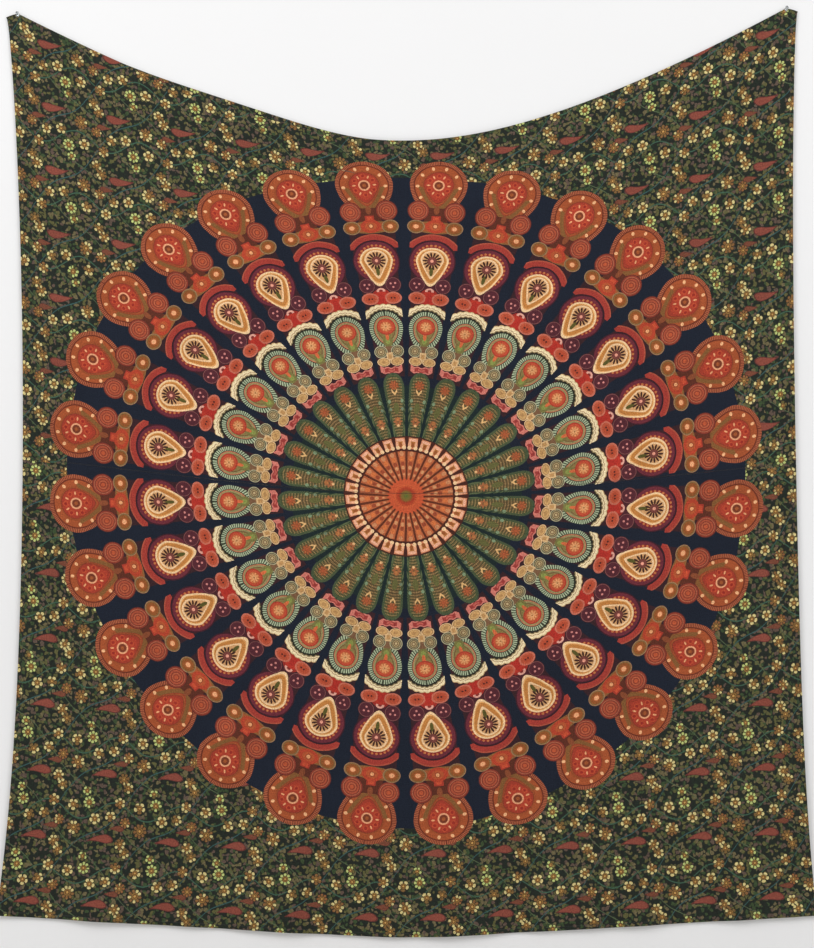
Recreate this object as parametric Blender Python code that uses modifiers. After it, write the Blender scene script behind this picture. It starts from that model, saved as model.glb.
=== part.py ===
"""A printed cotton wall tapestry, hung by its two top corners on push pins.

Metres, +Z up. The wall is the plane Y = 0 and the room is on its -Y side. The origin is the
point on the wall midway between the two pins. Every solid of the cloth is a flat layer: the
printed front, then the turned edges and the seam allowance behind it.
"""
import math

import bmesh
import bpy
from mathutils import Matrix

OBJECT_NAME = "tapestry_wall_hanging"

# The cloth as it is sewn, laid flat.
CLOTH_HEIGHT = 2.34        # top edge to bottom edge; the width is 2.13
SEAM_SHARE = 0.5           # the joining seam's place between top edge (0) and bottom edge (1)
SHEET = 0.0005             # one layer of printed cotton
TURNED_EDGE = 0.0006       # a rolled hem, pressed flat
HEM_WIDTH = 0.012
SEAM_WIDTH = 0.010
STITCH_INSET = 0.010       # stitch line to cloth edge
THREAD_RADIUS = 0.0002
GAP = 0.0003               # between pieces that touch

# The cloth as it hangs. Across, s runs -1 to 1; down, t runs 0 to 1.
TOP_HALF_WIDTH = 1.016
WAIST = 0.026              # how far the sides draw in under the corners
FLARE = 0.037              # how far the bottom corners kick out
LEAN = 0.020               # how far the whole cloth drifts to +X
HANG_HEIGHT = 2.337        # down a side, corner to corner
SAG_BOTTOM = 0.041
SAG_TOP = 0.1445           # more sag at the top, fading downward
RIGHT_LIFT = 0.0075        # the right corner is pinned a little higher
TWIST = 0.007
SLACK = 0.0802             # share of the height that the middle of the top edge folds away
PEEK = 0.016               # how far the folded edge stands above the fold, left of the middle
CORNER_DROOP = 0.024       # how far the free tip of a corner, outside its pin, nods down
CORNER_FADE = 0.02         # share of the height over which that droop fades

# The push pins.
PIN_SHARE = 0.972          # s of each pin
PIN_INSET = 0.005          # pierced point to the top edge of the cloth
PIN_TILT = math.radians(20)
PIN_REACH = 0.0045         # how far the points stand past the wall plane
NEEDLE_RADIUS = 0.00055
BORE_RADIUS = 0.00085
HOLE_RADIUS = 0.0010
FLANGE_RADIUS = 0.0050
BORE_DEPTH = 0.0070

# Layers, front to back, as (front, back) Y values.
FRONT = (-0.0040, -0.0040 + SHEET)
BEHIND = (FRONT[1] + GAP, FRONT[1] + GAP + TURNED_EDGE)
PLEAT = (FRONT[1] + GAP, FRONT[1] + GAP + 2 * SHEET)
TOP_HEM = (PLEAT[1] + GAP, PLEAT[1] + GAP + TURNED_EDGE)


def half_width(t):
    """Half the width of the hanging cloth: drawn in below the top, flared at the bottom."""
    return TOP_HALF_WIDTH - WAIST * math.sin(math.pi * t ** 0.71) + FLARE * t ** 7


def sag_share(s, t):
    """1 at the middle and 0 at the sides: a rounded V near the top, a sharper one below."""
    round_off = 0.526 - 0.417 * t
    rise = math.hypot(s, round_off) - round_off
    return 1.0 - rise / (math.hypot(1.0, round_off) - round_off)


def hung_x(s, t):
    return LEAN * math.sin(0.8 * math.pi * t) + half_width(t) * s


def corner_droop(s, t):
    beyond = max(0.0, abs(s) - PIN_SHARE) / (1.0 - PIN_SHARE)
    return CORNER_DROOP * beyond * math.exp(-t / CORNER_FADE)


def drop(s, t):
    """Height of a point of the hanging cloth, before the origin is set."""
    sag = (SAG_BOTTOM + SAG_TOP * math.exp(-2.3 * t)) * sag_share(s, t)
    uneven = RIGHT_LIFT * math.exp(-8.0 * t) - TWIST * math.sin(math.pi * t)
    return uneven * s - HANG_HEIGHT * t - sag - corner_droop(s, t)


def fold_t(s):
    """t of the line along which the slack top edge folds over backwards."""
    return SLACK * sag_share(s, 0.0)


def raw_fold(s):
    return drop(s, fold_t(s))


# The origin is level with the middle between the pins.
ORIGIN_RISE = PIN_INSET - 0.5 * (raw_fold(PIN_SHARE) + raw_fold(-PIN_SHARE))


def hung_z(s, t):
    return ORIGIN_RISE + drop(s, t)


def fold_z(s):
    return hung_z(s, fold_t(s))


def peek(s):
    """The folded edge shows above the fold in one long lens, left of the middle."""
    reach = (s + 0.40) / 0.38
    return PEEK * math.cos(0.5 * math.pi * reach) ** 2 if abs(reach) < 1.0 else 0.0


def spread(low, high, steps):
    return [low + (high - low) * i / steps for i in range(steps + 1)]


def make_material(name, color, roughness, metallic=0.0, alpha=1.0):
    material = bpy.data.materials.new(name)
    material.use_nodes = True
    shader = material.node_tree.nodes["Principled BSDF"]
    shader.inputs["Base Color"].default_value = (*color, 1.0)
    shader.inputs["Roughness"].default_value = roughness
    shader.inputs["Metallic"].default_value = metallic
    shader.inputs["Alpha"].default_value = alpha
    return material


def mesh_from(obj, name, collection):
    """A mesh object with welded caps in place of a curve object or a modifier stack."""
    bpy.context.view_layer.update()
    evaluated = obj.evaluated_get(bpy.context.evaluated_depsgraph_get())
    mesh = bpy.data.meshes.new_from_object(evaluated)
    work = bmesh.new()
    work.from_mesh(mesh)
    bmesh.ops.remove_doubles(work, verts=work.verts, dist=0.00001)
    bmesh.ops.recalc_face_normals(work, faces=work.faces)
    work.to_mesh(mesh)
    work.free()
    solid = bpy.data.objects.new(name, mesh)
    solid.matrix_world = obj.matrix_world
    collection.objects.link(solid)
    bpy.data.objects.remove(obj)
    return solid


def flat_layer(name, outline, layer, collection, material=None):
    """A flat solid between the layer's two Y values, from an outline of (x, z) points."""
    curve = bpy.data.curves.new(name, "CURVE")
    curve.dimensions = "2D"
    curve.fill_mode = "BOTH"
    curve.extrude = 0.5 * (layer[1] - layer[0])
    spline = curve.splines.new("POLY")
    spline.points.add(len(outline) - 1)
    for point, (x, z) in zip(spline.points, outline):
        point.co = (x, z, 0.0, 1.0)
    spline.use_cyclic_u = True
    flat = bpy.data.objects.new(name + "_outline", curve)
    flat.matrix_world = Matrix.Translation((0.0, 0.5 * (layer[0] + layer[1]), 0.0)) @ \
        Matrix.Rotation(0.5 * math.pi, 4, "X")
    collection.objects.link(flat)
    solid = mesh_from(flat, name, collection)
    if material:
        solid.data.materials.append(material)
    return solid


def combine(target, other, operation):
    """Boolean of two solids, applied, with the second one used up."""
    modifier = target.modifiers.new(operation.lower(), "BOOLEAN")
    modifier.operation = operation
    modifier.solver = "EXACT"
    modifier.object = other
    name = target.name
    material = target.data.materials[0] if target.data.materials else None
    target.name = name + "_before"
    solid = mesh_from(target, name, target.users_collection[0])
    solid.data.materials.clear()
    if material:
        solid.data.materials.append(material)
    bpy.data.objects.remove(other)
    return solid


def across(function_z, shares, t_of):
    """(x, z) points along a line that crosses the cloth."""
    return [(hung_x(s, t_of(s)), function_z(s)) for s in shares]


def strip(upper, lower):
    """Outline between two lines that run the same way."""
    return upper + lower[::-1]


def side_line(side, t_values, inset=0.0):
    """(x, z) points down one side, a given distance in from the edge."""
    points = []
    for t in t_values:
        s = side * (1.0 - inset / half_width(t))
        points.append((hung_x(s, t), hung_z(s, t)))
    return points


def row_line(t, shares, lift=0.0):
    return [(hung_x(s, t), hung_z(s, t) + lift) for s in shares]


def make_upper_panel(parts, cutters, cloth):
    """The upper width of cloth: its front, and the pleat of slack behind the top edge."""
    seam_t = SEAM_SHARE - 0.5 * GAP / HANG_HEIGHT
    shares = spread(-1.0, 1.0, 56)
    top = across(fold_z, shares, fold_t)
    right = side_line(1, spread(0.0, seam_t, 12))[1:]
    seam = row_line(seam_t, spread(1.0, -1.0, 24))[1:]
    left = side_line(-1, spread(seam_t, 0.0, 12))[1:-1]
    panel = flat_layer("upper_panel", top + right + seam + left, FRONT, parts, cloth)

    inner = spread(-0.94, 0.94, 52)
    edge = across(lambda s: fold_z(s) - 0.0008 + peek(s), inner, fold_t)
    pleat_depth = 0.5 * SLACK * CLOTH_HEIGHT
    under = across(lambda s: fold_z(s) - pleat_depth * sag_share(s, 0.0), inner, fold_t)
    pleat = flat_layer("pleat", strip(edge, under), PLEAT, cutters)

    fold = spread(-0.93, 0.93, 52)
    ridge = across(lambda s: fold_z(s) - 0.0010, fold, fold_t)
    ridge_under = across(lambda s: fold_z(s) - 0.0035, fold, fold_t)
    bridge_layer = (0.5 * (FRONT[0] + FRONT[1]), 0.5 * (PLEAT[0] + PLEAT[1]))
    bridge = flat_layer("bridge", strip(ridge, ridge_under), bridge_layer, cutters)
    panel = combine(panel, bridge, "UNION")
    return combine(panel, pleat, "UNION")


def make_lower_panel(parts, cloth):
    seam_t = SEAM_SHARE + 0.5 * GAP / HANG_HEIGHT
    top = row_line(seam_t, spread(-1.0, 1.0, 24))
    right = side_line(1, spread(seam_t, 1.0, 20))[1:]
    bottom = row_line(1.0, spread(1.0, -1.0, 36))[1:]
    left = side_line(-1, spread(1.0, seam_t, 20))[1:-1]
    return flat_layer("lower_panel", top + right + bottom + left, FRONT, parts, cloth)


def make_top_hem(parts, cloth):
    shares = spread(-0.995, 0.995, 56)
    edge = across(lambda s: fold_z(s) - 0.0008 + peek(s), shares, fold_t)
    inner = [(x, z - HEM_WIDTH) for x, z in edge]
    return flat_layer("top_hem", strip(edge, inner), TOP_HEM, parts, cloth)


def make_side_hem(name, side, parts, cloth):
    """A side hem runs from just under the top hem to just above the bottom hem."""
    bottom_t = 1.0 - (HEM_WIDTH + GAP) / HANG_HEIGHT
    t_values = spread(0.012, bottom_t, 32)
    outer = side_line(side, t_values)
    inner = side_line(side, t_values, HEM_WIDTH)
    return flat_layer(name, strip(outer, inner), BEHIND, parts, cloth)


def make_bottom_hem(parts, cloth):
    shares = spread(-1.0, 1.0, 36)
    edge = row_line(1.0, shares)
    inner = row_line(1.0 - HEM_WIDTH / HANG_HEIGHT, shares)
    return flat_layer("bottom_hem", strip(inner, edge), BEHIND, parts, cloth)


def make_seam_allowance(parts, reverse):
    shares = spread(-0.985, 0.985, 24)
    upper = row_line(SEAM_SHARE, shares, 0.5 * SEAM_WIDTH)
    lower = row_line(SEAM_SHARE, shares, -0.5 * SEAM_WIDTH)
    return flat_layer("seam_allowance", strip(upper, lower), BEHIND, parts, reverse)


def make_thread(name, line, y, parts, material):
    """A line of stitching as one thin round cord, lying against the cloth."""
    curve = bpy.data.curves.new(name, "CURVE")
    curve.dimensions = "3D"
    curve.bevel_depth = THREAD_RADIUS
    curve.bevel_resolution = 1
    curve.use_fill_caps = True
    spline = curve.splines.new("POLY")
    spline.points.add(len(line) - 1)
    for point, (x, z) in zip(spline.points, line):
        point.co = (x, y, z, 1.0)
    curve.materials.append(material)
    thread = bpy.data.objects.new(name, curve)
    parts.objects.link(thread)
    return thread


def make_threads(parts, material):
    front_y = FRONT[0] - GAP - THREAD_RADIUS
    back_y = TOP_HEM[1] + GAP + THREAD_RADIUS
    stitch_step = STITCH_INSET / HANG_HEIGHT
    shares = spread(-0.985, 0.985, 40)
    for name, side in (("left_hem_thread", -1), ("right_hem_thread", 1)):
        line = side_line(side, spread(0.014, 1.0 - 1.3 * stitch_step, 40), STITCH_INSET)
        make_thread(name, line, front_y, parts, material)
    make_thread("bottom_hem_thread", row_line(1.0 - stitch_step, shares), front_y, parts, material)
    make_thread("seam_thread", row_line(SEAM_SHARE, shares, 0.0015), front_y, parts, material)
    top = across(lambda s: fold_z(s) - 0.0008 + peek(s) - STITCH_INSET, shares, fold_t)
    make_thread("top_hem_thread", top, back_y, parts, material)


def turned(name, profile, frame, parts, material):
    """A turned solid about the frame's Z axis; the profile runs down its outer side."""
    mesh = bpy.data.meshes.new(name)
    edges = [(i, i + 1) for i in range(len(profile) - 1)]
    mesh.from_pydata([(r, 0.0, z) for r, z in profile], edges, [])
    solid = bpy.data.objects.new(name, mesh)
    solid.matrix_world = frame
    parts.objects.link(solid)
    screw = solid.modifiers.new("turn", "SCREW")
    screw.axis = "Z"
    screw.steps = 32
    screw.render_steps = 32
    screw.use_merge_vertices = True
    screw.merge_threshold = 0.00001
    screw.use_smooth_shade = True
    mesh.materials.append(material)
    return solid


def pin_frame(side):
    """A pin's own frame: origin where it pierces the cloth's front, +Z along the pin outward."""
    s = side * PIN_SHARE
    place = (hung_x(s, fold_t(s)), FRONT[0], fold_z(s) - PIN_INSET)
    return Matrix.Translation(place) @ Matrix.Rotation(0.5 * math.pi - PIN_TILT, 4, "X")


def make_pin(side_name, side, parts, plastic, steel):
    """A push pin: a spool-shaped plastic head with a blind bore, and the needle in it."""
    frame = pin_frame(side)
    seat = FLANGE_RADIUS * math.tan(PIN_TILT) + GAP / math.cos(PIN_TILT)
    head = [(0.0, 0.0125), (0.0030, 0.0125), (0.0039, 0.0121), (0.0043, 0.0113), (0.0041, 0.0103),
            (0.0031, 0.0078), (0.0027, 0.0058), (0.0029, 0.0038), (0.0036, 0.0022),
            (0.0046, 0.0015), (FLANGE_RADIUS, 0.0011), (FLANGE_RADIUS, 0.0003), (0.0046, 0.0),
            (BORE_RADIUS, 0.0), (BORE_RADIUS, BORE_DEPTH), (0.0, BORE_DEPTH)]
    head = [(r, seat + z) for r, z in head]
    turned(f"pin_{side_name}_head", head, frame, parts, plastic)

    needle_top = seat + BORE_DEPTH - GAP
    needle_tip = -(PIN_REACH - FRONT[0]) / math.cos(PIN_TILT)
    needle = [(0.0, needle_top), (NEEDLE_RADIUS, needle_top),
              (NEEDLE_RADIUS, needle_tip + 0.0028), (0.6 * NEEDLE_RADIUS, needle_tip + 0.0011),
              (0.0, needle_tip)]
    turned(f"pin_{side_name}_needle", needle, frame, parts, steel)


def pierce(solid, side, cutters):
    """The hole that a pin makes through a layer, along the pin's own axis."""
    bpy.ops.mesh.primitive_cylinder_add(vertices=24, radius=HOLE_RADIUS, depth=0.030)
    cutter = bpy.context.active_object
    for owner in list(cutter.users_collection):
        owner.objects.unlink(cutter)
    cutters.objects.link(cutter)
    cutter.hide_render = True
    cutter.display_type = "WIRE"
    cutter.matrix_world = pin_frame(side)
    return combine(solid, cutter, "DIFFERENCE")


def main():
    for obj in list(bpy.data.objects):
        bpy.data.objects.remove(obj)
    parts = bpy.data.collections.new(OBJECT_NAME)
    cutters = bpy.data.collections.new("cutters")
    bpy.context.scene.collection.children.link(parts)
    bpy.context.scene.collection.children.link(cutters)

    cloth = make_material("printed_cotton", (0.10, 0.075, 0.055), 0.9)
    reverse = make_material("cotton_reverse", (0.13, 0.11, 0.10), 0.92)
    thread = make_material("sewing_thread", (0.035, 0.035, 0.045), 0.7)
    plastic = make_material("clear_plastic", (0.86, 0.88, 0.90), 0.08, alpha=0.5)
    steel = make_material("needle_steel", (0.62, 0.62, 0.64), 0.25, metallic=1.0)

    upper = make_upper_panel(parts, cutters, cloth)
    make_lower_panel(parts, cloth)
    top_hem = make_top_hem(parts, cloth)
    make_side_hem("left_hem", -1, parts, cloth)
    make_side_hem("right_hem", 1, parts, cloth)
    make_bottom_hem(parts, cloth)
    make_seam_allowance(parts, reverse)
    make_threads(parts, thread)
    for side_name, side in (("left", -1), ("right", 1)):
        make_pin(side_name, side, parts, plastic, steel)
        upper = pierce(upper, side, cutters)
        top_hem = pierce(top_hem, side, cutters)


main()
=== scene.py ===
# %% [markdown]
# # A printed cotton tapestry on a wall
#
# This notebook makes a large wall tapestry: two widths of thin printed cotton, seamed across the
# middle, hemmed all round and hung from two push pins through its top corners. The cloth is
# one big soft sheet, so most of the lesson is about three things: how a cloth hangs, how its edges
# are sewn, and how a many-coloured block print can be drawn with shader nodes alone.
#
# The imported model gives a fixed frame: where the cloth, the hems, the stitching and the pins are.
# Every piece made here is laid over that frame and rides on one of its bodies.

# %% Load the fixed frame
import math

import bpy
import numpy as np
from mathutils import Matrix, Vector


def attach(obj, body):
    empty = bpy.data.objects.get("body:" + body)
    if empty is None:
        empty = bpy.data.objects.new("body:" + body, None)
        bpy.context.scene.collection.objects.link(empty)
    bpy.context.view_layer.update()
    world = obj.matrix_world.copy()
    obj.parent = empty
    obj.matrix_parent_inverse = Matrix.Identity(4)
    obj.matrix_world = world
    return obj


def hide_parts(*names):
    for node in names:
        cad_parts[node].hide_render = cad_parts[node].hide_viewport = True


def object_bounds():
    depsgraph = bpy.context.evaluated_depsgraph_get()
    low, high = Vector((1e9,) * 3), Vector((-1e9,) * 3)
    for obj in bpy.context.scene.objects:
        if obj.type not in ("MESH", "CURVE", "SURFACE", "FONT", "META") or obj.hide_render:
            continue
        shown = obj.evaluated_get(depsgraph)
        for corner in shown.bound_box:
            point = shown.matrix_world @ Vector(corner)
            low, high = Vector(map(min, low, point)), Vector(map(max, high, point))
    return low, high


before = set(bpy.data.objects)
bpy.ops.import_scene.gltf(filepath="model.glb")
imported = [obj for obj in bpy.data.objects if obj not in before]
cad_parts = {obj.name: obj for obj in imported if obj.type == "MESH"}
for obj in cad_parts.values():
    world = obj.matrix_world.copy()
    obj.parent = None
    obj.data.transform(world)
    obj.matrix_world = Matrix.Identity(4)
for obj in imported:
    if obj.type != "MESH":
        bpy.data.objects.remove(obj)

cad_low, cad_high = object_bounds()
print("frame box, metres:", [round(v, 4) for v in (*cad_low, *cad_high)])

# %% [markdown]
# ## How the cloth hangs
#
# A cloth is easiest to think of twice: flat, as it is sewn, and hung, as it is seen. A point of the
# flat cloth is (s, t): s runs from -1 at the left side to 1 at the right, and t from 0 at the top
# edge to 1 at the bottom. These functions say where that point hangs. The top edge sags between the
# pins, the sides draw in a little and the bottom corners kick out. They work on whole arrays
# of points at once, which keeps a mesh of forty thousand points quick to make.

# %% The hang, as functions of the flat cloth
CLOTH_WIDTH = 2.13
CLOTH_HEIGHT = 2.34
HANG_HEIGHT = 2.337        # the same cloth hung: a little is taken up by its waves
HALF_AT_TOP = 1.016
LAYER_GAP = 0.0003         # between pieces that touch
SEAM_T = 0.5
PIN_SHARE = 0.972
PIN_INSET = 0.005


def half_width(t):
    return HALF_AT_TOP - 0.026 * np.sin(np.pi * t ** 0.71) + 0.037 * t ** 7


def sag_share(s, t):
    """1 at the middle and 0 at the sides: a rounded V near the top, a sharper one below."""
    round_off = 0.526 - 0.417 * t
    rise = np.hypot(s, round_off) - round_off
    return 1.0 - rise / (np.hypot(1.0, round_off) - round_off)


def hung_x(s, t):
    return 0.020 * np.sin(0.8 * np.pi * t) + half_width(t) * s


def drop(s, t):
    sag = (0.041 + 0.1445 * np.exp(-2.3 * t)) * sag_share(s, t)
    uneven = 0.0075 * np.exp(-8.0 * t) - 0.007 * np.sin(np.pi * t)
    beyond = np.maximum(0.0, np.abs(s) - PIN_SHARE) / (1.0 - PIN_SHARE)
    return uneven * s - HANG_HEIGHT * t - sag - 0.024 * beyond * np.exp(-t / 0.02)


def fold_t(s):
    """The line along which the slack of the top edge folds over backwards."""
    return 0.0802 * sag_share(s, 0.0)


def raw_fold(s):
    return drop(s, fold_t(s))


ORIGIN_RISE = PIN_INSET - 0.5 * (raw_fold(PIN_SHARE) + raw_fold(-PIN_SHARE))


def hung_z(s, t):
    return ORIGIN_RISE + drop(s, t)


def peek(s):
    """How far the folded-over edge shows above the fold, in one long lens left of the middle."""
    reach = (s + 0.40) / 0.38
    return np.where(np.abs(reach) < 1.0, 0.016 * np.cos(0.5 * np.pi * np.clip(reach, -1, 1)) ** 2, 0.0)


print("middle of the top edge hangs at", round(float(hung_z(0.0, fold_t(0.0))), 4))

# %% [markdown]
# ## How far the cloth stands off the wall
#
# A cloth on a wall is never flat. Near the top it holds shallow swags, like a chain between the
# pins; from each pin a few folds fan out; lower down the cloth is free and waves in upright flutes.
# All of this is only a few millimetres deep, but without it the light has nothing to catch.
# Each kind of fold is a sum of sines with its own fading, which costs nothing and is the
# same on every run. A cloth simulation could do it too, but it would stretch and shift the print.

# %% Swags, fans and flutes
AT_PIN = 0.0040            # how far the cloth stands off the wall where it is pinned
HEM_ROOM = 0.0030          # the cloth never comes nearer the wall than its own hems


def smooth_step(x, low, high):
    a = np.clip((x - low) / (high - low), 0.0, 1.0)
    return a * a * (3.0 - 2.0 * a)


def pin_fan(s, t, side):
    """Folds that run out from a pin, down and inwards, and fade."""
    across = np.abs(PIN_SHARE - side * s) * HALF_AT_TOP
    down = t * HANG_HEIGHT + 0.004
    angle = np.arctan2(across, down)
    far = np.hypot(across, down)
    wave = np.sin(11.0 * angle + 0.9 * side) + 0.5 * np.sin(23.0 * angle + 2.0)
    return wave * smooth_step(far, 0.01, 0.16) * np.exp(-far / 0.34)


def flutes(s, t):
    """Upright waves that wander sideways and grow downward."""
    x = hung_x(s, t)
    wander = 0.05 * np.sin(2.1 * t + 1.3) + 0.03 * np.sin(5.3 * t)
    wave = (np.sin(2 * np.pi * (x + wander) / 0.43 + 0.6)
            + 0.6 * np.sin(2 * np.pi * (x - 1.4 * wander) / 0.235 + 2.2)
            + 0.3 * np.sin(2 * np.pi * (x + 0.6 * wander) / 0.128 + 4.0))
    return wave * (0.25 + 0.75 * smooth_step(t, 0.15, 1.0))


def swags(s, t):
    """Shallow arcs under the fold, deepest in the middle."""
    below = t - fold_t(s)
    wave = (np.sin(2 * np.pi * below / 0.062 + 0.8 * s)
            + 0.5 * np.sin(2 * np.pi * below / 0.027 + 2.0 * s))
    return wave * np.exp(-below / 0.085) * smooth_step(below, 0.0, 0.02) * (0.25 + 0.75 * sag_share(s, 0.0))


def creases(s, t):
    """The press lines of the folded packet, and small random puckers."""
    x, z = hung_x(s, t), CLOTH_HEIGHT * t
    return (np.sin(9.1 * x + 14.0 * z + 2.0) * np.sin(17.0 * x - 7.0 * z)
            + 0.6 * np.sin(31.0 * x + 5.0 * z) * np.sin(23.0 * z - 6.0 * x + 1.0))


def edge_distances(s, t):
    """Metres to the nearer side, to the bottom edge and to the seam."""
    side = (1.0 - np.abs(s)) * half_width(t)
    return side, (1.0 - t) * HANG_HEIGHT, np.abs(t - SEAM_T) * HANG_HEIGHT


def stand_off(s, t):
    """How far the printed face stands off the wall."""
    s, t = np.asarray(s, float), np.asarray(t, float)
    side, bottom, seam = edge_distances(s, t)
    fold = AT_PIN + 0.0045 * sag_share(s, 0.0)
    base = fold * np.exp(-(t - fold_t(s)) / 0.35) + 0.0105 * (1.0 - np.exp(-(t - fold_t(s)) / 0.35))
    free = smooth_step(t - fold_t(s), 0.0, 0.03)
    relief = free * (0.0030 * flutes(s, t) + 0.0028 * (pin_fan(s, t, 1) + pin_fan(s, t, -1))
                     + 0.0016 * swags(s, t) + 0.0006 * creases(s, t))
    calm = 0.35 + 0.65 * smooth_step(side, 0.0, 0.10)
    out = base + relief * calm
    groove = 0.0004 * sum(np.exp(-((edge - 0.010) / 0.0014) ** 2) for edge in (side, bottom))
    out = out - groove - 0.0007 * np.exp(-(seam / 0.0015) ** 2)
    from_pin = (np.abs(s) - PIN_SHARE) * HALF_AT_TOP
    near_pin = np.exp(-((from_pin / 0.02) ** 2 + (t * CLOTH_HEIGHT / 0.03) ** 2))
    out = out * (1 - near_pin) + AT_PIN * near_pin
    return HEM_ROOM + np.sqrt((out - HEM_ROOM) ** 2 + 1e-7) * (out > HEM_ROOM) + 1e-4 * (out <= HEM_ROOM)


probe = stand_off(*np.meshgrid(np.linspace(-1, 1, 200), np.linspace(0.09, 1, 200)))
print("cloth stands off the wall by", round(float(probe.min()) * 1000, 1), "to",
      round(float(probe.max()) * 1000, 1), "mm")

# %% [markdown]
# ## From arrays to a mesh
#
# A grid of points, a list of four-cornered faces and one flat coordinate per point: that is a whole
# cloth mesh. The flat coordinate goes into a UV map named "flat", in metres from the
# middle of the cloth, so that the print can be drawn at its real size and then simply hangs with
# the cloth.

# %% Helpers that build meshes
SHOWN = bpy.data.collections.new("tapestry")
bpy.context.scene.collection.children.link(SHOWN)


def flat_of(s, t):
    """Flat coordinates in metres, from the middle of the cloth, up and to the right."""
    return 0.5 * CLOTH_WIDTH * s, CLOTH_HEIGHT * (0.5 - t)


def make_piece(name, points, faces, flat, material, body, smooth=True):
    mesh = bpy.data.meshes.new(name)
    mesh.from_pydata([tuple(p) for p in points], [], faces)
    layer = mesh.uv_layers.new(name="flat")
    corner = np.empty(len(mesh.loops), np.int32)
    mesh.loops.foreach_get("vertex_index", corner)
    layer.data.foreach_set("uv", np.asarray(flat, np.float32)[corner].ravel())
    mesh.polygons.foreach_set("use_smooth", [smooth] * len(mesh.polygons))
    mesh.materials.append(material)
    mesh.update()
    piece = bpy.data.objects.new(name, mesh)
    SHOWN.objects.link(piece)
    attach(piece, body)
    print(f"{name}: {len(mesh.vertices)} points, {len(mesh.polygons)} faces")
    return piece


def grid_faces(rows, columns, closed_rows=False):
    """Faces between rows of points; each row runs across the columns."""
    r = np.arange(rows - (0 if closed_rows else 1))
    c = np.arange(columns - 1)
    r, c = np.meshgrid(r, c, indexing="ij")
    here, below = r * columns + c, ((r + 1) % rows) * columns + c
    return np.stack([here, below, below + 1, here + 1], -1).reshape(-1, 4).tolist()


NEAR_EDGE = (0.0, 0.002, 0.0045, 0.007, 0.0085, 0.010, 0.0115, 0.013, 0.017, 0.023)


def edge_spacing(length, step):
    """Places along a length: close together near the sewn edges, even in between."""
    near = np.array(NEAR_EDGE)
    far = length - near[::-1]
    steps = max(2, int(round((far[0] - near[-1]) / step)))
    return np.concatenate([near, np.linspace(near[-1], far[0], steps + 1)[1:-1], far])


# %% [markdown]
# ## Inks
#
# The real cloth is screen printed: a dozen inks, one screen after another, on a nearly black
# ground. So the print here is drawn the same way. Each motif is a few nodes that measure how far a
# point is from the motif's middle, a colour ramp that turns this distance into rings of ink, and
# a mix that lays them over what is already printed.
#
# The colours are written as they look on the finished cloth in plain light, from 0 to 255, and one
# function turns them into the linear values that shader nodes use.

# %% The inks and how bright the room makes them
ROOM_LIGHT = 1.065         # how bright a white sheet on this wall would be


def ink(red, green, blue):
    def linear(value):
        value = value / 255
        return value / 12.92 if value <= 0.04045 else ((value + 0.055) / 1.055) ** 2.4
    return tuple(linear(v) / ROOM_LIGHT for v in (red, green, blue)) + (1.0,)


NAVY = ink(22, 29, 43)
CREAM = ink(238, 200, 152)
BONE = ink(236, 216, 172)
print("darkest and lightest ink:", NAVY[:3], BONE[:3])

# %% [markdown]
# ## A hand that draws with nodes
#
# Writing out every node would bury the drawing, so one small class does the wiring. Its methods
# are the printer's moves: measure a length, mix two inks through a mask, print a spot made
# of rings. A place is always a pair of plain numbers, x and y in metres.
#
# The order matters. The renderer works nodes out in the order they were added, and it has only a
# small working memory, so each motif is finished before the next one starts. Plain numbers
# keep that order; a vector that is turned into a colour, or the other way round, would not.
# Nodes that are exactly alike are merged, and would upset it too, so each motif is set a hair,
# less than a tenth of a millimetre, away from where its neighbours are.
#
# A colour ramp reads values from 0 to 1 and repeats its last colour beyond them. To let a motif
# end, its edge is put at 0.9 of the ramp, and what lies past the edge is see-through.

# %% The drawing hand
EDGE = 0.9


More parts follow.
